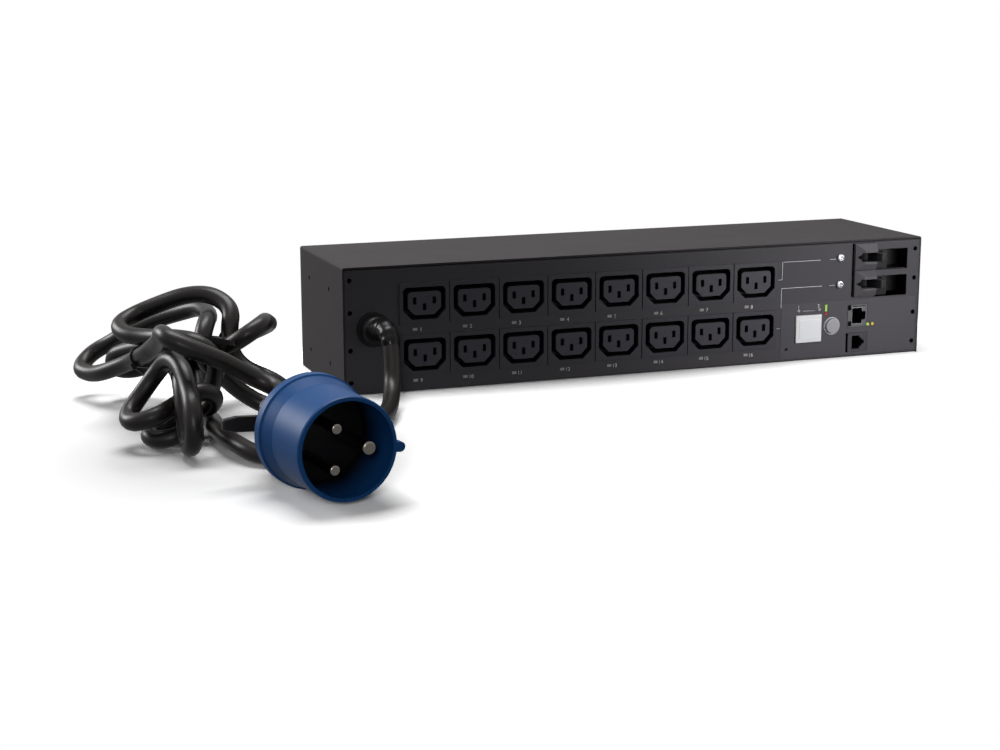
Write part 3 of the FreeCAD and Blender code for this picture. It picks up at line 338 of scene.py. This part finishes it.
# Turns a curve or a text object into a mesh, and removes the object
def asMesh(thing):
    bpy.context.view_layer.update()
    mesh = bpy.data.meshes.new_from_object(thing)
    bpy.data.objects.remove(thing)
    return mesh


# Box between two limits on each axis
def block(shape, *limits):
    middle = [(low + high) / 2 for low, high in limits]
    size = [high - low for low, high in limits]
    bmesh.ops.create_cube(shape, size=1, matrix=Matrix.Translation(middle) @ Matrix.Diagonal((*size, 1)))


def softenEdges(shape, edges, offset, segments):
    bmesh.ops.bevel(shape, geom=edges, offset=offset, offset_type="OFFSET", segments=segments, profile=0.5,
                    affect="EDGES", material=-1)


def tubeCurve(name, kind, points, radius):
    data = bpy.data.curves.new(name, "CURVE")
    data.dimensions = "3D"
    data.bevel_depth = radius
    data.bevel_resolution = 6
    data.use_fill_caps = True
    spline = data.splines.new(kind)
    spline.points.add(len(points) - 1)
    for target, p in zip(spline.points, points):
        target.co = (*p, 1)
    thing = bpy.data.objects.new(name, data)
    bpy.context.scene.collection.objects.link(thing)
    return thing


# Supply cord: one length from the bushing to the plug, bundled in loose turns beside the case.
# Points in millimetres: down to the floor, along it behind the plug, up through the bundle, round its turns,
# and back to the plug's gland.
cordValues = {"diameter": 0.0112, "length": 2.2, "exit": (-0.203, -0.068, 0.045), "steps": 10}
cordRoute = [
    (-203, -68, 46), (-203, -76, 50), (-202, -92, 49), (-202, -99, 34), (-204, -105, 18), (-209, -119, 10),
    (-215, -135, 8), (-223, -150, 7), (-233, -163, 7), (-245, -176, 6), (-257, -188, 6), (-269, -200, 6),
    (-281, -212, 7), (-294, -223, 6), (-311, -227, 6), (-323, -216, 7), (-328, -200, 9), (-331, -182, 9),
    (-331, -165, 9), (-331, -147, 8), (-327, -129, 6), (-328, -111, 6), (-330, -97, 16), (-328, -85, 27),
    (-333, -71, 36), (-342, -56, 35), (-346, -39, 30), (-344, -20, 26), (-356, -11, 19), (-371, -15, 21),
    (-374, -26, 33), (-364, -39, 39), (-356, -55, 43), (-353, -73, 46), (-352, -91, 51), (-339, -103, 52),
    (-322, -110, 52), (-318, -128, 53), (-306, -139, 63), (-294, -130, 68), (-289, -110, 65),
    (-284, -92, 61), (-279, -74, 57), (-275, -59, 54), (-274, -45, 50), (-284, -37, 44), (-297, -45, 40),
    (-307, -63, 38), (-322, -80, 42), (-338, -84, 43), (-346, -99, 38), (-347, -120, 38), (-350, -140, 40),
    (-353, -160, 43), (-354, -174, 31), (-354, -178, 12), (-355, -194, 6), (-354, -207, 16),
    (-354, -203, 33), (-353, -186, 41), (-354, -170, 52), (-358, -152, 54), (-363, -140, 44),
    (-374, -140, 30), (-385, -149, 19), (-383, -165, 18), (-369, -171, 23), (-357, -160, 26),
    (-342, -156, 34), (-329, -149, 28), (-332, -138, 17), (-348, -135, 18), (-360, -139, 6),
    (-373, -149, 7), (-369, -164, 6), (-354, -167, 9), (-346, -153, 14), (-342, -138, 5), (-340, -122, 11),
    (-328, -118, 22), (-326, -129, 35), (-326, -138, 49), (-338, -135, 60), (-348, -121, 60),
    (-354, -105, 58), (-362, -91, 56), (-373, -77, 56), (-375, -61, 60), (-361, -52, 65), (-346, -60, 72),
    (-333, -70, 78), (-320, -80, 80), (-311, -90, 76), (-308, -99, 70), (-311, -105, 62), (-312, -110, 46),
    (-304, -117, 36), (-290, -129, 31), (-277, -128, 20), (-278, -117, 8), (-290, -105, 9),
    (-305, -102, 19), (-318, -108, 32), (-330, -121, 42), (-332, -121, 58), (-326, -109, 68),
    (-321, -90, 66), (-318, -72, 66), (-320, -54, 67), (-329, -40, 62), (-340, -28, 57), (-351, -17, 51),
    (-361, -4, 44), (-369, 8, 36), (-383, 13, 28), (-393, 2, 20), (-387, -14, 19), (-381, -30, 23),
    (-372, -43, 29), (-365, -57, 35), (-364, -73, 40), (-367, -90, 43), (-364, -106, 49), (-360, -121, 57),
    (-360, -137, 63), (-362, -153, 68), (-365, -169, 73), (-361, -184, 70), (-333, -186, 57),
    (-322, -182, 50), (-311, -180, 43), (-300, -186, 38), (-300, -201, 35), (-307, -218, 34),
    (-308, -231, 33), (-308, -240, 32),
]


def cordCurve(name, radius):
    thing = tubeCurve(name, "NURBS", [tuple(c / 1000 for c in p) for p in cordRoute], radius)
    spline = thing.data.splines[0]
    spline.order_u = 3
    spline.use_endpoint_u = True
    spline.resolution_u = cordValues["steps"]
    return thing


cord = cordCurve("supply_cord", cordValues["diameter"] / 2)
cord.data.materials.append(jacket)
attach(cord, "case")
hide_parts("power_cord_case_end", "power_cord_plug_end", "cord_hank")
bareLine = asMesh(cordCurve("bareLine", 0))
cordLine = [v.co.copy() for v in bareLine.vertices]
bpy.data.meshes.remove(bareLine)
print("cord laid")


# Strain relief: a ribbed rubber sleeve that tapers from the bushing onto the cord
reliefValues = {"length": 0.034, "wide": 0.0074, "narrow": 0.0059, "ribs": 6, "rib": 0.0003, "plain": 0.15}


def reliefSleeve(v):
    reach = 0
    places = []
    radii = []
    for here, after in zip(cordLine, cordLine[1:]):
        share = reach / v["length"]
        if share > 1:
            break
        rib = v["rib"] * math.sin(share * v["ribs"] * 2 * math.pi) if share > v["plain"] else 0
        places.append(here)
        radii.append(v["wide"] + (v["narrow"] - v["wide"]) * share + rib)
        reach += (after - here).length
    sleeve = tubeCurve("reliefLine", "POLY", places, v["wide"])
    for target, radius in zip(sleeve.data.splines[0].points, radii):
        target.radius = radius / v["wide"]
    mesh = asMesh(sleeve)
    mesh.name = "cord_strain_relief"
    return mesh


addPiece("cord_strain_relief", reliefSleeve(reliefValues), reliefRubber, smooth=True)


# Ties: a flat strap drawn round the strands that cross its plane, with its head and a cut tail
strapValues = {"width": 0.0030, "thick": 0.0010, "play": 0.0002, "corners": 24, "rounding": 0.0004,
               "headSize": (0.0042, 0.0044, 0.0032), "headOut": 0.0012,
               "tailSize": (0.0027, 0.0140, 0.0010), "tailOut": 0.0014}
tieValues = [
    {"name": "side_tie", "centre": (-0.357, -0.094, 0.038), "normal": (0.08, -0.95, 0.30), "reach": 0.0155,
     "head": (0.6, -0.8), "tail": (0.9, -0.8, -0.7)},
    {"name": "bundle_tie", "centre": (-0.322, -0.120, 0.057), "normal": (0.20, 0.10, 1.0), "reach": 0.028,
     "head": (-0.2, -1.0), "tail": (-1.0, -0.4, 0.5)},
]


def crossings(centre, normal, reach):
    found = []
    for here, after in zip(cordLine, cordLine[1:]):
        a = (here - centre).dot(normal)
        b = (after - centre).dot(normal)
        if a * b < 0:
            point = here.lerp(after, a / (a - b))
            if (point - centre).length < reach:
                found.append(point)
    return found


# Corners of the strap's round in its own plane: the hull of a circle about each strand
def strapRound(centre, normal, across, above, reach, s):
    radius = cordValues["diameter"] / 2 + s["play"]
    flat = []
    for point in crossings(centre, normal, reach):
        for i in range(s["corners"]):
            a = 2 * math.pi * i / s["corners"]
            flat.append(((point - centre).dot(across) + radius * math.cos(a),
                         (point - centre).dot(above) + radius * math.sin(a)))
    return [Vector(flat[i]) for i in convex_hull_2d(flat)]


def strapBand(shape, rim, normal, heart, s):
    corners = [shape.verts.new(p - normal * s["width"] / 2) for p in rim]
    edges = [shape.edges.new(pair) for pair in zip(corners, corners[1:] + corners[:1])]
    band = bmesh.ops.extrude_edge_only(shape, edges=edges)["geom"]
    raised = [g for g in band if isinstance(g, bmesh.types.BMVert)]
    bmesh.ops.translate(shape, vec=normal * s["width"], verts=raised)
    shape.normal_update()
    inward = [f for f in shape.faces if f.normal.dot(f.calc_center_median() - heart) < 0]
    bmesh.ops.reverse_faces(shape, faces=inward)
    bmesh.ops.solidify(shape, geom=shape.faces[:], thickness=-s["thick"])


# Head on the strap's outside at base, facing out, and the tail that leaves it along way
def strapHead(shape, base, out, normal, way, s):
    turn = Matrix((normal, normal.cross(out).normalized(), out)).transposed().to_4x4()
    head = bmesh.ops.create_cube(shape, size=1, matrix=Matrix.Translation(base + out * s["headOut"]) @ turn
                                 @ Matrix.Diagonal((*s["headSize"], 1)))
    flatSide = way.cross(out).normalized()
    lean = Matrix((flatSide, way, flatSide.cross(way))).transposed().to_4x4()
    middle = base + out * s["tailOut"] + way * s["tailSize"][1] / 2
    tail = bmesh.ops.create_cube(shape, size=1, matrix=Matrix.Translation(middle) @ lean
                                 @ Matrix.Diagonal((*s["tailSize"], 1)))
    edges = {e for p in head["verts"] + tail["verts"] for e in p.link_edges}
    softenEdges(shape, list(edges), s["rounding"], 2)


def tieStrap(v, s):
    centre = Vector(v["centre"])
    normal = Vector(v["normal"]).normalized()
    across = normal.cross(Vector((0, 0, 1))).normalized()
    above = across.cross(normal)
    loop = strapRound(centre, normal, across, above, v["reach"], s)
    middle = sum(loop, Vector((0, 0))) / len(loop)
    heart = centre + across * middle.x + above * middle.y
    shape = bmesh.new()
    strapBand(shape, [centre + across * p.x + above * p.y for p in loop], normal, heart, s)
    toHead = Vector(v["head"]).normalized()
    outermost = max(loop, key=lambda p: (p - middle).dot(toHead))
    outermost = outermost + (outermost - middle).normalized() * s["thick"]
    base = centre + across * outermost.x + above * outermost.y
    strapHead(shape, base, (base - heart).normalized(), normal, Vector(v["tail"]).normalized(), s)
    bmesh.ops.recalc_face_normals(shape, faces=shape.faces)
    return meshFrom(v["name"], shape)


ties = [addPiece(v["name"], tieStrap(v, strapValues), blackPlastic) for v in tieValues]
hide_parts("cable_ties")
print("cord dressed")


# Thumb end of the plug's lever, measured from the plug's tip along and across the plug, and turned with it
leverValues = {"turn": 8.6, "roll": 4.0, "from": -0.0338, "to": -0.0428, "tall": 0.0094, "short": 0.0058,
               "front": 0.0739, "back": 0.0781, "rounding": 0.0009}


def leverEnd(v):
    shape = bmesh.new()
    box = bmesh.ops.create_cube(shape, size=1)
    for corner in box["verts"]:
        outer = corner.co.x < 0
        height = v["short"] if outer else v["tall"]
        corner.co = Vector((v["to"] if outer else v["from"], v["front"] if corner.co.y < 0 else v["back"],
                            corner.co.z * height))
    softenEdges(shape, list(shape.edges), v["rounding"], 3)
    place = (Matrix.Translation(plugTip) @ Matrix.Rotation(math.radians(v["turn"]), 4, "Z")
             @ Matrix.Rotation(math.radians(v["roll"]), 4, "Y"))
    bmesh.ops.transform(shape, matrix=place, verts=shape.verts)
    return meshFrom("lever_end", shape)


addPiece("lever_end", leverEnd(leverValues), plugBlack)


# Print on the front panel: flat ink a twentieth of a millimetre thick
inkValues = {"thick": 0.00005, "line": 0.00035, "digit": 0.0038, "digitX": -0.0023, "digitZ": -0.0195,
             "firstX": -0.1668, "pitchX": 0.03607, "rowsZ": (0.06112, 0.0255), "columns": 8}
# The two bank numbers and the line between them, on the control film's face
bankValues = {"digit": 0.0034, "places": (0.1219, 0.1385), "z": 0.0392, "proud": 0.00028,
              "lineX": (0.1255, 0.1352), "lineZ": (0.0370, 0.0372)}
# Lines that join each breaker to its bank of outlets, in millimetres from the case's left edge and floor
bankLines = [[(362.8, 74.4), (331.7, 74.4), (331.7, 61.5), (328.8, 61.5)],
             [(364.7, 55.0), (331.4, 55.0), (331.4, 40.8)],
             [(328.2, 25.3), (330.6, 25.3)],
             [(371.0, 74.4), (375.6, 74.4)],
             [(371.0, 55.0), (375.6, 55.0)]]


def inkBar(shape, x, z, y):
    half = inkValues["thick"] / 2
    block(shape, x, (y - half, y + half), z)


def bankPrint(v):
    shape = bmesh.new()
    half = inkValues["line"] / 2
    for path in bankLines:
        for one, two in zip(path, path[1:]):
            xs = sorted((one[0] / 1000 + caseLeft, two[0] / 1000 + caseLeft))
            zs = sorted((one[1] / 1000, two[1] / 1000))
            inkBar(shape, (xs[0] - half, xs[1] + half), (zs[0] - half, zs[1] + half),
                   panelY - inkValues["thick"])
    inkBar(shape, v["lineX"], v["lineZ"], panelY - v["proud"])
    return meshFrom("bank_lines", shape)


addPiece("bank_lines", bankPrint(bankValues), ink)


def inkNumber(shape, number, size, x, y, z):
    text = bpy.data.curves.new("digit", "FONT")
    text.body = str(number)
    text.size = size
    text.extrude = inkValues["thick"] / 2
    text.align_x = "CENTER"
    holder = bpy.data.objects.new("digit", text)
    bpy.context.scene.collection.objects.link(holder)
    part = asMesh(holder)
    part.transform(Matrix.Translation((x, y, z)) @ Matrix.Rotation(math.radians(90), 4, "X"))
    shape.from_mesh(part)
    bpy.data.meshes.remove(part)


def numberPrint(v):
    shape = bmesh.new()
    for row, z in enumerate(inkValues["rowsZ"]):
        for column in range(inkValues["columns"]):
            x = inkValues["firstX"] + column * inkValues["pitchX"] + inkValues["digitX"]
            inkNumber(shape, row * inkValues["columns"] + column + 1, inkValues["digit"], x,
                      panelY - inkValues["thick"], z + inkValues["digitZ"])
    for number, x in enumerate(v["places"]):
        inkNumber(shape, number + 1, v["digit"], x, panelY - v["proud"], v["z"])
    return meshFrom("outlet_numbers", shape)


addPiece("outlet_numbers", numberPrint(bankValues), ink)


# Window of the display: a plate with softened edges
windowValues = {"x": (0.1222, 0.1389), "y": (-0.05962, -0.0590), "z": (0.0157, 0.0309), "rounding": 0.0003}


def displayWindow(v):
    shape = bmesh.new()
    block(shape, v["x"], v["y"], v["z"])
    softenEdges(shape, list(shape.edges), v["rounding"], 3)
    return meshFrom("display_window", shape)


addPiece("display_window", displayWindow(windowValues), windowClear)


# Ring round the function button, turned about the button's axis
ringValues = {"x": 0.1498, "z": 0.0246, "inner": 0.0057, "outer": 0.0067, "proud": 0.0009, "seat": 0.0002,
              "innerEdge": 0.0002, "outerEdge": 0.0004, "steps": 56}


def turnedRing(v):
    shape = bmesh.new()
    front = panelY - v["proud"]
    seat = panelY - v["seat"]
    profile = [(v["inner"], seat), (v["inner"], front + v["innerEdge"]), (v["inner"] + v["innerEdge"], front),
               (v["outer"] - v["outerEdge"], front), (v["outer"], front + v["outerEdge"]), (v["outer"], seat)]
    verts = [shape.verts.new((v["x"] + r, y, v["z"])) for r, y in profile]
    edges = [shape.edges.new((a, b)) for a, b in zip(verts, verts[1:])]
    bmesh.ops.spin(shape, geom=verts + edges, cent=(v["x"], 0, v["z"]), axis=(0, 1, 0), angle=2 * math.pi,
                   steps=v["steps"], use_merge=True)
    bmesh.ops.recalc_face_normals(shape, faces=shape.faces)
    return meshFrom("button_ring", shape)


addPiece("button_ring", turnedRing(ringValues), ringGrey, smooth=True)


# Face of the network socket's shield, in metres: black bars beside the cavity that paint the shade of its
# slots, as (x, z) limits, and a folded edge round the cavity that leaves the latch's gap open on the right,
# in bright zinc as a painted highlight
faceValues = {"front": -0.0583, "proud": 0.00012, "lip": 0.0003, "latchEnds": 0.0022,
              "slots": [((0.1634, 0.1659), (0.0353, 0.0392)), ((0.1637, 0.1662), (0.0234, 0.0271)),
                        ((0.1672, 0.1782), (0.0379, 0.0384))]}
# Moulded inserts of the two sockets: a thin black lining, open at the front, and a comb of contact wires
socketValues = [
    {"name": "network_socket", "x": (0.16675, 0.17515), "z": (0.02510, 0.03690), "wires": 8},
    {"name": "serial_socket", "x": (0.16745, 0.17375), "z": (0.00595, 0.01585), "wires": 6},
]
liningValues = {"inFace": 0.0001, "depth": 0.0130, "wirePitch": 0.00102, "wireIn": 0.0019, "wireBack": 0.0062,
                "wireTurn": -16, "wireSize": (0.0004, 0.0090, 0.00045)}


def faceBars(name, bars, proud):
    shape = bmesh.new()
    for x, z in bars:
        block(shape, x, (faceValues["front"] - proud, faceValues["front"]), z)
    return meshFrom(name, shape)


def lipBars(x, z, v):
    w = v["lip"]
    tall = (z[0] - w, z[1] + w)
    rightSide = (x[1], x[1] + w)
    return [((x[0] - w, x[0]), tall), (x, (z[0] - w, z[0])), (x, (z[1], z[1] + w)),
            (rightSide, (z[0] - w, z[0] + v["latchEnds"])), (rightSide, (z[1] - v["latchEnds"], z[1] + w))]


def socketLining(v, s):
    shape = bmesh.new()
    front = faceValues["front"] + s["inFace"]
    block(shape, v["x"], (front, panelY + s["depth"]), v["z"])
    opening = min(shape.faces, key=lambda f: f.calc_center_median().y)
    bmesh.ops.delete(shape, geom=[opening], context="FACES")
    bmesh.ops.reverse_faces(shape, faces=shape.faces)
    return meshFrom(v["name"] + "_lining", shape)


def socketWires(v, s):
    shape = bmesh.new()
    middle = (v["z"][0] + v["z"][1]) / 2
    for i in range(v["wires"]):
        z = middle + (i - (v["wires"] - 1) / 2) * s["wirePitch"]
        slope = (Matrix.Translation((v["x"][0] + s["wireIn"], panelY + s["wireBack"], z))
                 @ Matrix.Rotation(math.radians(s["wireTurn"]), 4, "Z"))
        bmesh.ops.create_cube(shape, size=1, matrix=slope @ Matrix.Diagonal((*s["wireSize"], 1)))
    return meshFrom(v["name"] + "_wires", shape)


# Painted shade: black bars just proud of the shield's face where its slots are
addPiece("network_slot_shade", faceBars("network_slot_shade", faceValues["slots"], faceValues["proud"]), slotShadeBlack)
# Painted highlight: the shield's folded edge in the screws' bright zinc rather than the shield's own tin
networkLipHighlight = lipBars(socketValues[0]["x"], socketValues[0]["z"], faceValues)
addPiece("network_lip_highlight", faceBars("network_lip_highlight", networkLipHighlight, faceValues["proud"] * 2), zinc)
for v in socketValues:
    addPiece(v["name"] + "_lining", socketLining(v, liningValues), blackPlastic)
    addPiece(v["name"] + "_wires", socketWires(v, liningValues), brass)
print("panel dressed")


# Light: a large softbox overhead, one behind on the left, a near one low at the right end and a faint one
# on the plug. Sizes and places in metres, power in watts, spread in degrees.
lampValues = [
    {"name": "overheadSoftbox", "place": (-0.2, 0.13, 1.15), "aim": (-0.15, -0.03, 0.0), "size": (0.9, 0.5),
     "power": 12.0, "spread": 180},
    {"name": "leftSoftbox", "place": (-1.2, 0.75, 0.55), "aim": (-0.25, 0.0, 0.04), "size": (0.6, 0.5),
     "power": 10, "spread": 180},
    {"name": "rightSoftbox", "place": (0.29, -0.36, 0.13), "aim": (0.17, -0.06, 0.045), "size": (0.24, 0.16),
     "power": 0.24, "spread": 75},
    {"name": "plugSoftbox", "place": (-0.55, -1.0, 0.28), "aim": (-0.30, -0.32, 0.035), "size": (0.2, 0.2),
     "power": 0.035, "spread": 20},
]


def addSoftbox(v):
    data = bpy.data.lights.new(v["name"], "AREA")
    data.shape = "RECTANGLE"
    data.size, data.size_y = v["size"]
    data.energy = v["power"]
    data.spread = math.radians(v["spread"])
    lamp = bpy.data.objects.new(v["name"], data)
    lamp.location = v["place"]
    lamp.rotation_euler = (Vector(v["aim"]) - Vector(v["place"])).to_track_quat("-Z", "Y").to_euler()
    lamp.visible_camera = False
    bpy.context.scene.collection.objects.link(lamp)


for v in lampValues:
    addSoftbox(v)

# White studio: full white to the camera, less where the object mirrors or passes it, and faint as a light
studioValues = {"lit": 0.03, "mirrored": 0.6}


def addStudio(v):
    world = bpy.data.worlds.new("studio")
    world.use_nodes = True
    bpy.context.scene.world = world
    tree = world.node_tree
    sky = tree.nodes["Background"]
    sky.inputs["Color"].default_value = (1, 1, 1, 1)
    rays = addNode(tree, "ShaderNodeLightPath").outputs
    through = addNode(tree, "ShaderNodeMath", {0: rays["Is Glossy Ray"], 1: rays["Is Transmission Ray"]},
                      operation="MAXIMUM")
    mirrored = addNode(tree, "ShaderNodeMapRange", {"Value": through.outputs[0], "To Min": v["lit"],
                                                    "To Max": v["mirrored"]})
    strength = addNode(tree, "ShaderNodeMath", {0: mirrored.outputs[0], 1: rays["Is Camera Ray"]},
                       operation="MAXIMUM")
    tree.links.new(strength.outputs[0], sky.inputs["Strength"])


addStudio(studioValues)

# Floor: white paper to the camera, which keeps the shadows close to the object and fades to even white
# further out. The patches are the floor round the cord and round the case, as (centre, reach) of an ellipse.
floorValues = {"size": 6.0, "height": -0.0002, "bounce": 0.08, "mirrored": 0.3, "roughness": 0.5,
               "seenNear": 1.05, "seenFar": 1.75, "brightenFrom": 0.4, "brightenTo": 1.0,
               "fadeFrom": 1.0, "fadeTo": 1.15,
               "patches": [((-0.33, -0.17, 0), (0.165, 0.21, 1)), ((0.0, 0.0, 0), (0.32, 0.14, 1))]}


def paperFinish(v):
    paper = bpy.data.materials.new("whitePaper")
    paper.use_nodes = True
    tree = paper.node_tree
    tree.nodes.remove(tree.nodes["Principled BSDF"])
    rays = addNode(tree, "ShaderNodeLightPath").outputs
    place = addNode(tree, "ShaderNodeTexCoord").outputs["Object"]
    reaches = []
    for centre, reach in v["patches"]:
        moved = addNode(tree, "ShaderNodeVectorMath", {0: place, 1: centre}, operation="SUBTRACT")
        scaled = addNode(tree, "ShaderNodeVectorMath", {0: moved.outputs[0], 1: reach}, operation="DIVIDE")
        length = addNode(tree, "ShaderNodeVectorMath", {0: scaled.outputs[0]}, operation="LENGTH")
        reaches.append(length.outputs["Value"])
    far = addNode(tree, "ShaderNodeMath", {0: reaches[0], 1: reaches[1]}, operation="MINIMUM").outputs[0]
    seen = addNode(tree, "ShaderNodeMapRange", {"Value": far, "From Min": v["brightenFrom"],
                                                "From Max": v["brightenTo"], "To Min": v["seenNear"],
                                                "To Max": v["seenFar"]})
    shade = addNode(tree, "ShaderNodeMix", {"Factor": rays["Is Camera Ray"], 6: (v["bounce"],) * 3 + (1,),
                                            7: seen.outputs[0]}, data_type="RGBA")
    matt = addNode(tree, "ShaderNodeBsdfDiffuse", {"Color": shade.outputs[2], "Roughness": v["roughness"]})
    fade = addNode(tree, "ShaderNodeMapRange", {"Value": far, "From Min": v["fadeFrom"],
                                                "From Max": v["fadeTo"]})
    toCamera = addNode(tree, "ShaderNodeMath", {0: rays["Is Camera Ray"], 1: fade.outputs[0]},
                       operation="MULTIPLY")
    through = addNode(tree, "ShaderNodeMath", {0: rays["Is Glossy Ray"], 1: rays["Is Transmission Ray"]},
                      operation="MAXIMUM")
    toOthers = addNode(tree, "ShaderNodeMath", {0: through.outputs[0], 1: v["mirrored"]},
                       operation="MULTIPLY")
    share = addNode(tree, "ShaderNodeMath", {0: toCamera.outputs[0], 1: toOthers.outputs[0]},
                    operation="MAXIMUM")
    glow = addNode(tree, "ShaderNodeEmission", {"Color": (1, 1, 1, 1), "Strength": 1.0})
    blend = addNode(tree, "ShaderNodeMixShader", {0: share.outputs[0], 1: matt.outputs[0],
                                                  2: glow.outputs[0]})
    tree.links.new(blend.outputs[0], tree.nodes["Material Output"].inputs["Surface"])
    return paper


def addFloor(v):
    shape = bmesh.new()
    bmesh.ops.create_grid(shape, x_segments=1, y_segments=1, size=v["size"],
                          matrix=Matrix.Translation((0, 0, v["height"])))
    floor = bpy.data.objects.new("floor", meshFrom("floor", shape))
    bpy.context.scene.collection.objects.link(floor)
    floor.data.materials.append(paperFinish(v))


addFloor(floorValues)
print("light set")
